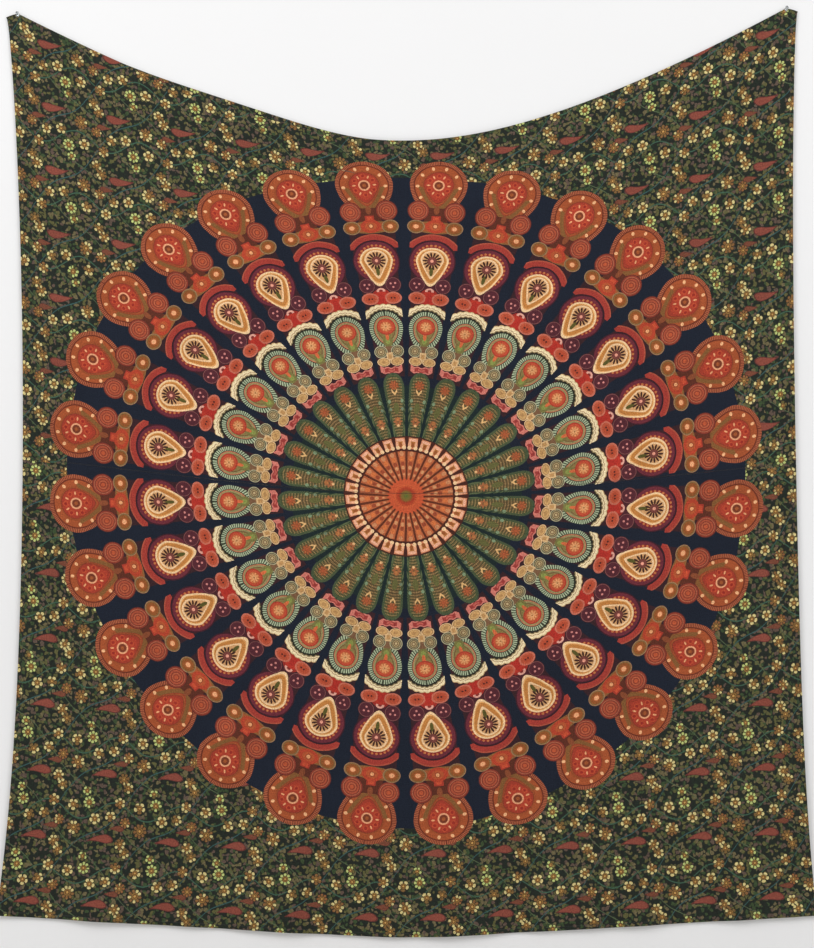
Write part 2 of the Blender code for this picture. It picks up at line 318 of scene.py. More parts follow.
class Hand:
    """Adds shader nodes to one tree and wires them up."""

    def __init__(self, tree):
        self.tree = tree
        self.count = 0

    def feed(self, socket, value):
        if isinstance(value, bpy.types.NodeSocket):
            self.tree.links.new(value, socket)
        else:
            socket.default_value = value

    def node(self, kind, inputs=(), **settings):
        made = self.tree.nodes.new(kind)
        made.location = (180 * (self.count // 12), -160 * (self.count % 12))
        self.count += 1
        for name, value in settings.items():
            setattr(made, name, value)
        for key, value in dict(inputs).items():
            self.feed(made.inputs[key], value)
        return made

    def math(self, operation, a, b=0.0, c=0.0, clamp=False):
        return self.node("ShaderNodeMath", {0: a, 1: b, 2: c}, operation=operation,
                         use_clamp=clamp).outputs[0]

    def mix(self, mask, under, over, blend="MIX"):
        made = self.node("ShaderNodeMix", {0: mask}, data_type="RGBA", blend_type=blend)
        self.feed(made.inputs[6], under)
        self.feed(made.inputs[7], over)
        return made.outputs[2]

    def choose(self, mask, a, b):
        """The number a where the mask is 0 and b where it is 1."""
        made = self.node("ShaderNodeMix", {0: mask, 2: a, 3: b}, data_type="FLOAT")
        return made.outputs[0]

    def grey(self, value):
        return self.node("ShaderNodeCombineColor", {0: value, 1: value, 2: value}).outputs[0]

    def texture(self, kind, place, scale=(1.0, 1.0), inputs=(), **settings):
        """A texture read at a place, stretched by scale, in two dimensions."""
        x = self.math("MULTIPLY", place[0], scale[0]) if scale[0] != 1.0 else place[0]
        y = self.math("MULTIPLY", place[1], scale[1]) if scale[1] != 1.0 else place[1]
        at = self.node("ShaderNodeCombineXYZ", {0: x, 1: y}).outputs[0]
        return self.node(kind, {"Vector": at, **dict(inputs)}, **settings).outputs

    def length(self, x, y):
        return self.math("SQRT", self.math("MULTIPLY_ADD", y, y, self.math("MULTIPLY", x, x)))

    def ramp(self, value, rings, interpolation="CONSTANT"):
        """Rings of ink, each (how far out it ends, ink); an ink of None is see-through."""
        made = self.node("ShaderNodeValToRGB", {0: value})
        stops = made.color_ramp
        stops.interpolation = interpolation
        start = 0.0
        for number, (end, colour) in enumerate(list(rings) + [(None, None)]):
            stop = stops.elements[number] if number < 2 else stops.elements.new(0.99)
            stop.position = start * EDGE
            stop.color = colour or (0.0, 0.0, 0.0, 0.0)
            start = end
        return made.outputs["Color"], made.outputs["Alpha"]

    def rings(self, under, reach, rings, only=None):
        """Print rings of ink over what is there; only is a mask that cuts them off."""
        colour, mask = self.ramp(reach, rings)
        if only is not None:
            mask = self.math("MULTIPLY", mask, only)
        return self.mix(mask, under, colour)

    def offset(self, place, centre, size):
        """The way from a centre, as a share of size, with the motif's edge at 0.9."""
        wide, high = size if isinstance(size, tuple) else (size, size)
        x, y = self.hair(centre)
        return (self.math("MULTIPLY_ADD", place[0], EDGE / wide, -x * EDGE / wide),
                self.math("MULTIPLY_ADD", place[1], EDGE / high, -y * EDGE / high))

    def hair(self, centre):
        """The centre, moved a hair, differently for every motif."""
        return centre[0] + 1e-7 * self.count, centre[1] + 1e-7 * self.count

    def spot(self, under, place, centre, size, rings, only=None):
        """A round or oval motif made of rings."""
        return self.rings(under, self.length(*self.offset(place, centre, size)), rings, only)

    def block(self, under, place, centre, size, rings, only=None):
        """A four-cornered motif made of rings."""
        x, y = self.offset(place, centre, size)
        reach = self.math("MAXIMUM", self.math("ABSOLUTE", x), self.math("ABSOLUTE", y))
        return self.rings(under, reach, rings, only)

    def place_group(self, tree, **inputs):
        made = self.node("ShaderNodeGroup", (), node_tree=tree)
        for name, value in inputs.items():
            self.feed(made.inputs[name.replace("_", " ")], value)
        return made.outputs


def new_group(name, inputs, outputs):
    """A node group with named sockets, and the hand that fills it."""
    tree = bpy.data.node_groups.new(name, "ShaderNodeTree")
    for label, value in inputs:
        kind = "NodeSocketColor" if isinstance(value, tuple) else "NodeSocketFloat"
        socket = tree.interface.new_socket(label, in_out="INPUT", socket_type=kind)
        socket.default_value = value
    for label, kind in outputs:
        tree.interface.new_socket(label, in_out="OUTPUT", socket_type="NodeSocket" + kind)
    hand = Hand(tree)
    given = hand.node("NodeGroupInput").outputs
    return tree, hand, given


def finish_group(hand, **outputs):
    end = hand.node("NodeGroupOutput")
    for name, value in outputs.items():
        hand.tree.links.new(value, end.inputs[name.replace("_", " ")])


# %% [markdown]
# ## Shapes that come back again and again
#
# Two shapes make most of this kind of print. One is the drop: round above, drawn to a point below.
# The other is a repeat around a middle, for petals, rays, dots and combs. Each is a node group with
# named inputs, made once and placed many times. The repeat measures angle, cuts it into
# equal slices and gives every slice the same small coordinates: across the slice, and out
# from the middle.

# %% Groups for drops and rounds
drop_tree, hand, given = new_group(
    "Drop shape",
    [("X", 0.0), ("Y", 0.0), ("Centre X", 0.0), ("Centre Y", 0.0), ("Half width", 0.05), ("Above", 0.05),
     ("Below", 0.05), ("Pinch", 0.5)],
    [("Reach", "Float")])
off_y = hand.math("SUBTRACT", given["Y"], given["Centre Y"])
over = hand.math("DIVIDE", hand.math("MAXIMUM", off_y, 0.0), given["Above"])
under = hand.math("DIVIDE", hand.math("MINIMUM", off_y, 0.0), given["Below"])
waist = hand.math("MAXIMUM", hand.math("MULTIPLY_ADD", under, given["Pinch"], 1.0), 0.02)
off_x = hand.math("SUBTRACT", given["X"], given["Centre X"])
side = hand.math("DIVIDE", off_x, hand.math("MULTIPLY", given["Half width"], waist))
reach = hand.length(side, hand.math("ADD", over, under))
finish_group(hand, Reach=hand.math("MULTIPLY", reach, EDGE))

round_tree, hand, given = new_group(
    "Round repeat",
    [("X", 0.0), ("Y", 0.0), ("Centre X", 0.0), ("Centre Y", 0.0), ("Count", 6.0), ("Turn", 0.0)],
    [("Across", "Float"), ("Out", "Float"), ("Share", "Float"), ("Number", "Float")])
off_x = hand.math("SUBTRACT", given["X"], given["Centre X"])
off_y = hand.math("SUBTRACT", given["Y"], given["Centre Y"])
far = hand.length(off_x, off_y)
slices = hand.math("MULTIPLY", hand.math("ARCTAN2", off_x, off_y), given["Count"])
slices = hand.math("MULTIPLY_ADD", slices, 0.5 / math.pi, given["Turn"])
number = hand.math("FLOOR", slices)
share = hand.math("SUBTRACT", slices, number)
width = hand.math("DIVIDE", 2 * math.pi, given["Count"])
sideways = hand.math("MULTIPLY", hand.math("MULTIPLY", hand.math("SUBTRACT", share, 0.5), width), far)
finish_group(hand, Across=sideways, Out=far, Share=share, Number=number)


def drop_reach(hand, place, centre, half, above, below, pinch):
    centre = hand.hair(centre)
    return hand.place_group(drop_tree, X=place[0], Y=place[1], Centre_X=centre[0], Centre_Y=centre[1],
                            Half_width=half, Above=above, Below=below, Pinch=pinch)["Reach"]


def repeat(hand, place, centre, count, turn=0.0):
    centre = hand.hair(centre)
    return hand.place_group(round_tree, X=place[0], Y=place[1], Centre_X=centre[0], Centre_Y=centre[1],
                            Count=count, Turn=turn)


def around(hand, place, centre, count, turn=0.0):
    """The place within one slice of a round: across it, and out from its middle."""
    made = repeat(hand, place, centre, float(count), turn)
    return made["Across"], made["Out"]


print("groups:", drop_tree.name, "and", round_tree.name)

# %% [markdown]
# ## The floral ground
#
# Outside the big wheel the cloth is covered by a small repeat of flowers, leaves and vines. On the
# real cloth it is one screen, printed over and over: a unit about 18 cm wide and 16 cm high. In the
# lower half of the cloth the unit stands on its head, so that the print looks the same from both
# ends of a bed.
#
# Each flower is found with a trick: wrap the place round so that it lands within half a unit of
# that flower, wherever we are, and measure the distance there. The nearest of all flowers
# wins, and one set of nodes then draws it.

# %% The floral unit
UNIT = (0.1768, 0.1676)
FLOWERS = [  # place in the unit, radius, petals, share of petals that are pale, how warm its body is
    ((0.0000, 0.0000), 0.0180, 8, 0.92, 0.0),
    ((0.0064, -0.0295), 0.0135, 5, 0.70, 0.2),
    ((0.0745, -0.0420), 0.0160, 6, 0.40, 0.5),
    ((0.0874, -0.0642), 0.0168, 7, 0.55, 0.7),
    ((0.0373, -0.1009), 0.0205, 9, 0.45, 0.8),
    ((0.0784, -0.1190), 0.0160, 8, 0.25, 1.0),
    ((0.1180, -0.1346), 0.0158, 5, 0.65, 0.6),
    ((0.1580, -0.1277), 0.0168, 5, 0.75, 0.5),
    ((0.0424, 0.0086), 0.0170, 5, 0.80, 0.6),
    ((0.0950, -0.0020), 0.0165, 6, 0.55, 0.8),
]


def near(hand, place, spot_at, size):
    """The way from the nearest copy of a spot in the unit to here, as a share of size."""
    ways = []
    for axis in (0, 1):
        half, middle = UNIT[axis] / 2, spot_at[axis]
        wrapped = hand.math("WRAP", place[axis], middle + half, middle - half)
        ways.append(hand.math("MULTIPLY_ADD", wrapped, 1.0 / size, -spot_at[axis] / size))
    return ways


def steps(hand, number, values):
    """A number looked up in a list by its place in the list."""
    rings = [((index + 1) / len(values), (value, value, value, 1.0)) for index, value in enumerate(values)]
    scaled = hand.math("MULTIPLY_ADD", number, EDGE / len(values), 0.5 * EDGE / len(values))
    colour = hand.ramp(scaled, rings)[0]
    return hand.node("ShaderNodeSeparateColor", {0: colour}).outputs[0]


floral_tree, hand, given = new_group("Floral ground", [("X", 0.0), ("Y", 0.0)], [("Color", "Color")])
place = (given["X"], given["Y"])

# %% The dim leaves and the vines
soft = hand.texture("ShaderNodeTexNoise", place, inputs={"Scale": 70.0, "Detail": 1.0},
                    noise_dimensions="2D")
soft = hand.node("ShaderNodeSeparateColor", {0: soft["Color"]}).outputs
bent = [hand.math("MULTIPLY_ADD", soft[axis], 0.012, place[axis]) for axis in (0, 1)]
cells = hand.texture("ShaderNodeTexVoronoi", bent, inputs={"Scale": 105.0}, voronoi_dimensions="2D")
pick = hand.node("ShaderNodeSeparateColor", {0: cells["Color"]}).outputs[0]
leaf = hand.ramp(hand.math("MULTIPLY", pick, EDGE),
                 [(0.24, ink(32, 40, 32)), (0.46, ink(92, 90, 54)), (0.62, ink(92, 76, 66)),
                  (0.82, ink(58, 74, 46)), (1.0, ink(106, 96, 68))])[0]
colour = hand.mix(hand.math("LESS_THAN", cells["Distance"], 0.47), ink(32, 36, 30), leaf)

for slope, sway, shift, width, vine_ink in ((0.0, 0.022, 0.020, 0.0016, ink(62, 92, 74)),
                                            (1.0, 0.016, 0.090, 0.0015, ink(54, 86, 84)),
                                            (-1.0, 0.012, 0.140, 0.0012, ink(84, 98, 70))):
    wave = hand.math("SINE", hand.math("MULTIPLY_ADD", place[0], 2 * math.pi / UNIT[0], 40 * shift))
    line = hand.math("MULTIPLY_ADD", place[0], slope * UNIT[1] / UNIT[0],
                     hand.math("MULTIPLY_ADD", wave, sway, shift))
    gap = hand.math("WRAP", hand.math("SUBTRACT", place[1], line), UNIT[1] / 2, -UNIT[1] / 2)
    colour = hand.mix(hand.math("LESS_THAN", hand.math("ABSOLUTE", gap), width), colour, vine_ink)

# %% The paisley leaves
for spot_at, long, thick, bend, leaf_ink in (((0.136, -0.0777), 0.030, 0.0115, 5.5, ink(134, 70, 57)),
                                             ((0.100, -0.1038), 0.017, 0.0080, 2.0, ink(118, 68, 50))):
    leaf_x, leaf_y = near(hand, place, spot_at, 1.0)
    curl = hand.math("MULTIPLY", hand.math("MULTIPLY", leaf_x, leaf_x), -bend)
    leaf_place = (hand.math("ADD", leaf_y, curl), hand.math("MULTIPLY", leaf_x, -1.0))
    reach = drop_reach(hand, leaf_place, (0.0, 0.008), thick, 0.7 * long, 1.55 * long, 0.62)
    colour = hand.rings(colour, reach, [(0.82, leaf_ink), (1.0, ink(96, 50, 44))])

# %% The flowers
for number, (spot_at, radius, *_) in enumerate(FLOWERS):
    off = near(hand, place, spot_at, radius)
    square = hand.math("MULTIPLY_ADD", off[1], off[1], hand.math("MULTIPLY", off[0], off[0]))
    if number == 0:
        way, best, kind = off, square, 0.0
        continue
    nearer = hand.math("LESS_THAN", square, best)
    best = hand.math("MINIMUM", square, best)
    way = [hand.choose(nearer, way[axis], off[axis]) for axis in (0, 1)]
    kind = hand.choose(nearer, kind, float(number))
best = hand.math("SQRT", best)
tenths = steps(hand, kind, [flower[2] / 10 for flower in FLOWERS])
petal_count = hand.math("ROUND", hand.math("MULTIPLY", tenths, 10.0))
slices = repeat(hand, way, (0.0, 0.0), petal_count, 0.5)
petal = hand.math("ABSOLUTE", hand.math("MULTIPLY_ADD", slices["Share"], 2.0, -1.0))
lobe = hand.math("MULTIPLY_ADD", hand.math("POWER", petal, 2.2), -0.30, 1.0)
petal_reach = hand.math("DIVIDE", best, lobe)
unit_x = hand.math("FLOOR", hand.math("MULTIPLY", place[0], 2 / UNIT[0]))
unit_y = hand.math("FLOOR", hand.math("MULTIPLY", place[1], 2 / UNIT[1]))
seed = (hand.math("MULTIPLY_ADD", slices["Number"], 1.7, unit_x),
        hand.math("MULTIPLY_ADD", kind, 3.1, unit_y))
chance = hand.texture("ShaderNodeTexWhiteNoise", seed, noise_dimensions="2D")["Value"]
is_pale = hand.math("LESS_THAN", chance, steps(hand, kind, [f[3] for f in FLOWERS]))
warm = steps(hand, kind, [f[4] for f in FLOWERS])
pale_ink = hand.mix(hand.math("LESS_THAN", warm, 0.4), ink(210, 194, 132), ink(186, 196, 120))
petal_ink = hand.mix(is_pale, hand.mix(warm, ink(96, 96, 54), ink(140, 94, 56)), pale_ink)
colour = hand.mix(hand.math("LESS_THAN", petal_reach, 0.98), colour, ink(52, 44, 30))
body = hand.math("MULTIPLY", hand.math("LESS_THAN", petal_reach, 0.86), hand.math("LESS_THAN", petal, 0.72))
colour = hand.mix(hand.math("MULTIPLY", body, hand.math("GREATER_THAN", best, 0.40)), colour, petal_ink)
middle = hand.ramp(hand.math("MULTIPLY", best, EDGE / 0.46),
                   [(0.34, ink(196, 150, 84)), (0.60, ink(92, 62, 34)), (0.86, ink(150, 112, 58)),
                    (1.0, ink(64, 52, 34))])
colour = hand.mix(middle[1], colour, middle[0])
finish_group(hand, Color=colour)
print("floral ground:", len(floral_tree.nodes), "nodes")

# %% [markdown]
# ## The wheel
#
# The big round print is one narrow petal, repeated 28 times about the middle. So only one half
# petal is ever drawn: the angle is cut into 28 slices, each slice is mirrored about its own
# middle, and the motifs are placed along it by their distance from the centre of the wheel.
#
# From outside in, a petal has a rust-red head with a combed rim, two spirals, a dumbbell, a
# maroon disc that holds a cream drop with a daisy in it, two berries, a crown, a second drop
# with a pale comb, two curls and a small crown. Inside these stand 28 green feathers, a ring of
# little blocks, orange wedges and a sun.

# %% The wheel: slices and the dark disc
PETALS = 28
wheel_tree, hand, given = new_group("Wheel print", [("X", 0.0), ("Y", 0.0)],
                                    [("Color", "Color"), ("Mask", "Float")])
slices = repeat(hand, (given["X"], given["Y"]), (0.0, 0.0), float(PETALS))
far = slices["Out"]
twist = hand.math("MULTIPLY_ADD", far, 0.104, -0.0894)     # the middle of the wheel is turned a little
share = hand.math("FRACT", hand.math("ADD", slices["Share"], twist))
turned = hand.math("MULTIPLY", hand.math("SUBTRACT", share, 0.5), 2 * math.pi / PETALS)
petal_x = hand.math("ABSOLUTE", hand.math("MULTIPLY", hand.math("SINE", turned), far))
petal_y = hand.math("MULTIPLY", hand.math("COSINE", turned), far)
petal = (petal_x, petal_y)
spread = hand.math("ABSOLUTE", hand.math("MULTIPLY_ADD", share, 2.0, -1.0))
colour = NAVY


def comb(under, reach, limit, centre, count, dark, light, turn=0.0):
    """Two inks that take turns around a centre, out to a limit."""
    share = repeat(hand, petal, centre, float(count), turn)["Share"]
    inks = hand.mix(hand.math("LESS_THAN", share, 0.45), light, dark)
    return hand.mix(hand.math("LESS_THAN", reach, EDGE * limit), under, inks)


body = hand.math("LESS_THAN", petal_x, hand.math("MULTIPLY_ADD", far, 0.070, 0.0095))
from_middle = hand.math("ABSOLUTE", hand.math("SUBTRACT", far, 0.5625))
body = hand.math("MULTIPLY", body, hand.math("LESS_THAN", from_middle, 0.2375))
colour = hand.mix(body, NAVY, ink(54, 30, 34))

# %% The wheel: petal heads
HEAD = (0.0, 0.861)
reach = drop_reach(hand, petal, HEAD, 0.0750, 0.0680, 0.0820, 0.08)
inside = hand.math("MAXIMUM", hand.math("LESS_THAN", far, 0.880), hand.math("LESS_THAN", reach, EDGE))
colour = comb(colour, reach, 1.0, HEAD, 96, ink(104, 44, 30), ink(176, 98, 66))
colour = hand.rings(colour, reach, [(0.60, ink(150, 74, 40)), (0.82, ink(162, 80, 44)),
                                    (0.86, ink(104, 44, 28))])
heart = drop_reach(hand, petal, HEAD, 0.0560, 0.0560, 0.0780, 0.52)
low = hand.math("LESS_THAN", hand.math("MULTIPLY_ADD", petal_x, -0.35, petal_y), HEAD[1] - 0.022)
colour = hand.rings(colour, heart, [(0.72, None), (0.76, ink(148, 62, 38)), (1.0, ink(130, 86, 46))],
                    low)
heart = drop_reach(hand, petal, HEAD, 0.0400, 0.0390, 0.0520, 0.45)
colour = hand.rings(colour, heart, [(0.80, ink(172, 62, 42)), (0.96, ink(158, 58, 40)),
                                    (1.0, ink(128, 54, 36))])
dots_only = hand.math("GREATER_THAN", petal_y, HEAD[1] - 0.044)
colour = hand.spot(colour, around(hand, petal, (0.0, 0.8560), 10), (0.0, 0.0545), (0.0040, 0.0050),
                   [(1.0, ink(236, 176, 126))], dots_only)
colour = hand.spot(colour, around(hand, petal, HEAD, 6), (0.0, 0.0265), (0.0022, 0.0048),
                   [(1.0, ink(228, 160, 112))])
colour = hand.spot(colour, around(hand, petal, HEAD, 6, 0.5), (0.0, 0.0275), 0.0070,
                   [(0.55, ink(150, 44, 34)), (1.0, ink(184, 74, 46))])
colour = hand.spot(colour, petal, HEAD, 0.0150,
                   [(0.30, ink(160, 84, 44)), (0.72, ink(118, 56, 34)), (1.0, ink(228, 160, 118))])

# %% The wheel: spirals, dumbbell and the red arc
colour = hand.block(colour, petal, (0.0, 0.7740), (0.030, 0.022), [(1.0, ink(92, 44, 30))])
colour = hand.spot(colour, petal, (0.0, 0.7900), (0.007, 0.012), [(1.0, ink(134, 72, 44))])
colour = hand.spot(colour, petal, (0.0470, 0.7860), 0.0285,
                   [(0.18, ink(182, 84, 52)), (0.28, ink(138, 58, 40)), (0.40, ink(178, 92, 62)),
                    (0.50, ink(134, 56, 40)), (0.64, ink(168, 80, 54)), (0.74, ink(128, 52, 38)),
                    (0.80, ink(174, 104, 76)), (0.93, ink(140, 58, 42)), (1.0, ink(92, 42, 34))])
colour = hand.block(colour, petal, (0.0, 0.7660), (0.0120, 0.0080),
                    [(0.6, ink(196, 78, 50)), (1.0, ink(168, 58, 42))])
colour = hand.spot(colour, petal, (0.0, 0.7410), (0.066, 0.0170),
                   [(0.82, ink(158, 82, 44)), (1.0, ink(132, 92, 52))])
colour = hand.spot(colour, petal, (0.0, 0.7440), (0.026, 0.0190),
                   [(0.60, ink(178, 84, 48)), (1.0, ink(176, 66, 42))])
colour = hand.spot(colour, petal, (0.0500, 0.7405), (0.0225, 0.0190),
                   [(0.30, ink(232, 164, 116)), (0.42, ink(170, 88, 46)), (0.78, ink(142, 82, 40)),
                    (0.90, ink(124, 96, 56)), (1.0, ink(158, 118, 84))])
colour = hand.spot(colour, petal, (0.0, 0.7445), 0.0070,
                   [(0.7, ink(228, 158, 108)), (1.0, ink(140, 62, 36))])
arc_only = hand.math("MULTIPLY", hand.math("LESS_THAN", petal_x, 0.0620),
                     hand.math("GREATER_THAN", petal_y, 0.6800))
colour = hand.spot(colour, petal, (0.0, 0.6400), 0.0820,
                   [(0.74, ink(92, 42, 58)), (0.80, ink(34, 24, 32)), (0.96, ink(160, 58, 48)),
                    (1.0, ink(172, 80, 60))], arc_only)

# %% The wheel: maroon disc, cream drop and daisy
DISC = (0.0, 0.645)
colour = hand.block(colour, petal, (0.0, 0.5900), (0.036, 0.026), [(1.0, ink(74, 32, 38))])
colour = hand.spot(colour, petal, DISC, (0.0605, 0.0590),
                   [(0.80, ink(136, 42, 38)), (0.95, ink(106, 42, 52)), (1.0, ink(64, 26, 36))])
colour = hand.spot(colour, around(hand, petal, DISC, 26), (0.0, 0.0455), 0.0032,
                   [(1.0, ink(190, 112, 66))])
reach = drop_reach(hand, petal, DISC, 0.0430, 0.0395, 0.0690, 0.42)
colour = hand.rings(colour, reach, [(0.84, ink(190, 124, 62)), (0.89, ink(222, 160, 96)), (1.0, CREAM)])
reach = drop_reach(hand, petal, (0.0, 0.6470), 0.0305, 0.0300, 0.0500, 0.62)
colour = hand.rings(colour, reach, [(0.84, ink(206, 154, 104)), (1.0, ink(236, 196, 150))])
colour = hand.spot(colour, petal, (0.0, 0.6170), (0.0048, 0.0120), [(1.0, ink(88, 82, 36))])
colour = hand.spot(colour, around(hand, petal, (0.0, 0.6470), 14), (0.0, 0.0180), (0.0027, 0.0070),
                   [(1.0, ink(62, 34, 26))])
colour = hand.spot(colour, petal, (0.0, 0.6470), 0.0122,
                   [(0.34, ink(232, 156, 132)), (0.92, ink(116, 62, 54)), (1.0, ink(80, 38, 34))])

# %% The wheel: berries, crown and the pale arc
BERRY = (0.0340, 0.5775)
colour = hand.spot(colour, petal, BERRY, 0.0215,
                   [(0.84, ink(82, 36, 44)), (0.93, ink(124, 74, 72)), (1.0, ink(56, 24, 32))])
colour = hand.spot(colour, around(hand, petal, BERRY, 3), (0.0, 0.0072), 0.0028,
                   [(1.0, ink(208, 132, 124))])
colour = hand.spot(colour, petal, (0.0, 0.5430), (0.026, 0.0250),
                   [(0.75, ink(178, 52, 38)), (1.0, ink(150, 44, 36))])
colour = hand.spot(colour, petal, (0.0300, 0.5410), (0.0225, 0.0165),
                   [(0.52, ink(176, 74, 48)), (0.78, ink(182, 82, 56)), (1.0, ink(194, 106, 84))])
for seed_x in (0.0250, 0.0330):
    colour = hand.spot(colour, petal, (seed_x, 0.5410), 0.0026, [(1.0, ink(88, 36, 28))])
colour = hand.spot(colour, petal, (0.0, 0.5350), (0.0090, 0.0200), [(1.0, ink(172, 46, 36))])
crown_only = hand.math("GREATER_THAN", petal_y, 0.5600)
colour = hand.spot(colour, petal, (0.0, 0.5620), (0.0110, 0.0085),
                   [(0.45, ink(130, 44, 38)), (1.0, ink(222, 160, 142))], crown_only)
SECOND = (0.0, 0.4585)
arc = repeat(hand, petal, SECOND, 26.0, 0.5)
scallop = hand.math("SINE", hand.math("MULTIPLY", arc["Share"], math.pi))
arc_reach = hand.math("MULTIPLY_ADD", arc["Out"], EDGE / 0.0660, hand.math("MULTIPLY", scallop, -0.035))
arc_only = hand.math("MULTIPLY", hand.math("LESS_THAN", petal_x, 0.0475),
                     hand.math("GREATER_THAN", petal_y, 0.4870))
colour = hand.rings(colour, arc_reach, [(0.75, ink(40, 40, 30)), (0.79, ink(150, 128, 90)), (0.84, BONE),
                                        (0.865, ink(160, 118, 84)), (0.97, BONE), (1.0, ink(186, 150, 104))],
                    arc_only)

# %% The wheel: second drop, curls and small crown
reach = drop_reach(hand, petal, SECOND, 0.0435, 0.0465, 0.0620, 0.10)
colour = comb(colour, reach, 1.0, SECOND, 46, ink(58, 64, 48), ink(172, 184, 150))
colour = hand.rings(colour, reach, [(0.50, ink(134, 116, 68)), (0.56, ink(112, 88, 54)),
                                    (0.66, ink(146, 134, 88)), (0.72, ink(186, 116, 84)),
                                    (0.76, ink(66, 58, 40))])
colour = hand.spot(colour, petal, (0.0, 0.4230), (0.0130, 0.0170),
                   [(0.5, ink(134, 142, 72)), (1.0, ink(118, 112, 62))])
colour = hand.spot(colour, petal, (0.0, 0.4370), (0.0045, 0.0120), [(1.0, ink(206, 104, 62))])
colour = hand.spot(colour, petal, (0.0, 0.4630), (0.0240, 0.0225),
                   [(0.62, ink(190, 104, 62)), (0.86, ink(186, 76, 50)), (1.0, ink(168, 58, 42))])
colour = hand.spot(colour, around(hand, petal, (0.0, 0.4630), 9), (0.0, 0.0085), (0.0022, 0.0048),
                   [(1.0, ink(218, 150, 98))])
colour = hand.spot(colour, petal, (0.0, 0.4630), 0.0042,
                   [(0.6, ink(170, 104, 58)), (1.0, ink(222, 168, 116))])
colour = hand.block(colour, petal, (0.0, 0.3940), (0.0150, 0.0150), [(1.0, ink(122, 88, 62))])
colour = hand.spot(colour, petal, (0.0215, 0.3940), 0.0168,
                   [(0.20, ink(186, 164, 120)), (0.34, ink(118, 88, 60)), (0.48, ink(172, 152, 108)),
                    (0.62, ink(104, 84, 58)), (0.74, ink(160, 146, 108)), (0.86, ink(70, 66, 52)),
                    (1.0, ink(176, 168, 132))])
colour = hand.block(colour, petal, (0.0, 0.3800), (0.0085, 0.0110),
                    [(0.55, ink(186, 140, 88)), (1.0, ink(212, 174, 124))])
colour = hand.spot(colour, petal, (0.0175, 0.3660), (0.0170, 0.0118),
                   [(0.35, ink(178, 134, 84)), (0.74, ink(200, 156, 100)), (0.84, ink(156, 112, 70)),
                    (1.0, ink(222, 184, 134))])
wave = hand.math("COSINE", hand.math("MULTIPLY", petal_x, 2 * math.pi / 0.019))
flare = hand.math("MULTIPLY", hand.math("MULTIPLY", petal_x, petal_x), -5.0)
crown_y = hand.math("ADD", petal_y, hand.math("MULTIPLY_ADD", wave, 0.0016, flare))
colour = hand.block(colour, (petal_x, crown_y), (0.0, 0.3420), (0.0285, 0.0088),
                    [(0.30, ink(186, 92, 80)), (0.62, ink(150, 56, 52)), (1.0, ink(204, 118, 104))])

# %% The wheel: green feathers
FEATHER = (0.0, 0.300)
colour = hand.mix(hand.math("LESS_THAN", far, 0.300), colour, ink(24, 38, 38))
reach = drop_reach(hand, petal, FEATHER, 0.0252, 0.0340, 0.20, 0.42)
colour = comb(colour, reach, 1.06, FEATHER, 70, ink(38, 54, 42), ink(88, 98, 66))
colour = hand.rings(colour, reach, [(0.50, ink(106, 80, 48)), (0.72, ink(96, 86, 50)),
                                    (0.88, ink(76, 84, 52))])
inner = hand.math("LESS_THAN", reach, EDGE * 0.80)
hatching = [hand.math("SINE", hand.math("MULTIPLY_ADD", petal_x, across,
                                        hand.math("MULTIPLY", petal_y, up)))
            for across, up in ((900.0, 330.0), (760.0, -470.0))]
fleck = hand.math("MULTIPLY", *hatching)
for side_of, limit, fleck_ink in (("GREATER_THAN", 0.45, ink(158, 130, 88)),
                                  ("LESS_THAN", -0.40, ink(56, 62, 42))):
    shown = hand.math("MULTIPLY", inner, hand.math(side_of, fleck, limit))
    colour = hand.mix(shown, colour, fleck_ink)
colour = hand.spot(colour, around(hand, petal, (0.0, 0.3010), 8), (0.0, 0.0085), (0.0036, 0.0054),
                   [(0.6, ink(170, 96, 56)), (1.0, ink(134, 72, 42))])
colour = hand.spot(colour, petal, (0.0, 0.3010), 0.0045, [(1.0, ink(166, 84, 50))])
beak = hand.math("MULTIPLY_ADD", petal_x, -1.5, petal_y)
colour = hand.block(colour, (petal_x, beak), (0.0, 0.2770), (0.0070, 0.0036),
                    [(1.0, ink(222, 176, 116))])
colour = hand.spot(colour, petal, (0.0165, 0.2580), (0.0040, 0.0052), [(1.0, ink(122, 142, 108))])
colour = hand.spot(colour, petal, (0.0150, 0.2360), (0.0036, 0.0044), [(1.0, ink(112, 126, 100))])
colour = hand.spot(colour, petal, (0.0, 0.2380), (0.0075, 0.0160), [(1.0, ink(98, 96, 54))])
colour = hand.spot(colour, around(hand, petal, (0.0, 0.2020), 6), (0.0, 0.0072), (0.0034, 0.0046),
                   [(1.0, ink(160, 98, 60))])
colour = hand.spot(colour, petal, (0.0, 0.1910), 0.0036, [(1.0, ink(230, 178, 122))])
colour = hand.spot(colour, petal, (0.0, 0.2080), (0.0034, 0.0060), [(1.0, ink(176, 112, 64))])

# %% The wheel: blocks, wedges and sun
colour = hand.mix(hand.math("LESS_THAN", far, 0.162), colour, ink(70, 34, 26))
colour = hand.mix(hand.math("LESS_THAN", far, 0.1225), colour, ink(96, 46, 28))
wedge_edge = hand.math("MULTIPLY_ADD", far, 0.105, -0.0022)
wedge = hand.math("MULTIPLY", hand.math("LESS_THAN", petal_x, wedge_edge),
                  hand.math("LESS_THAN", far, 0.121))
colour = hand.mix(wedge, colour, ink(182, 98, 60))
colour = hand.block(colour, petal, (0.0, 0.1430), (0.0122, 0.0150),
                    [(0.60, ink(178, 112, 54)), (1.0, ink(206, 130, 92))])
colour = hand.spot(colour, petal, (0.0, 0.1520), (0.0110, 0.0040), [(1.0, ink(236, 174, 142))])
colour = hand.spot(colour, petal, (0.0082, 0.1400), (0.0034, 0.0090), [(1.0, ink(232, 168, 130))])
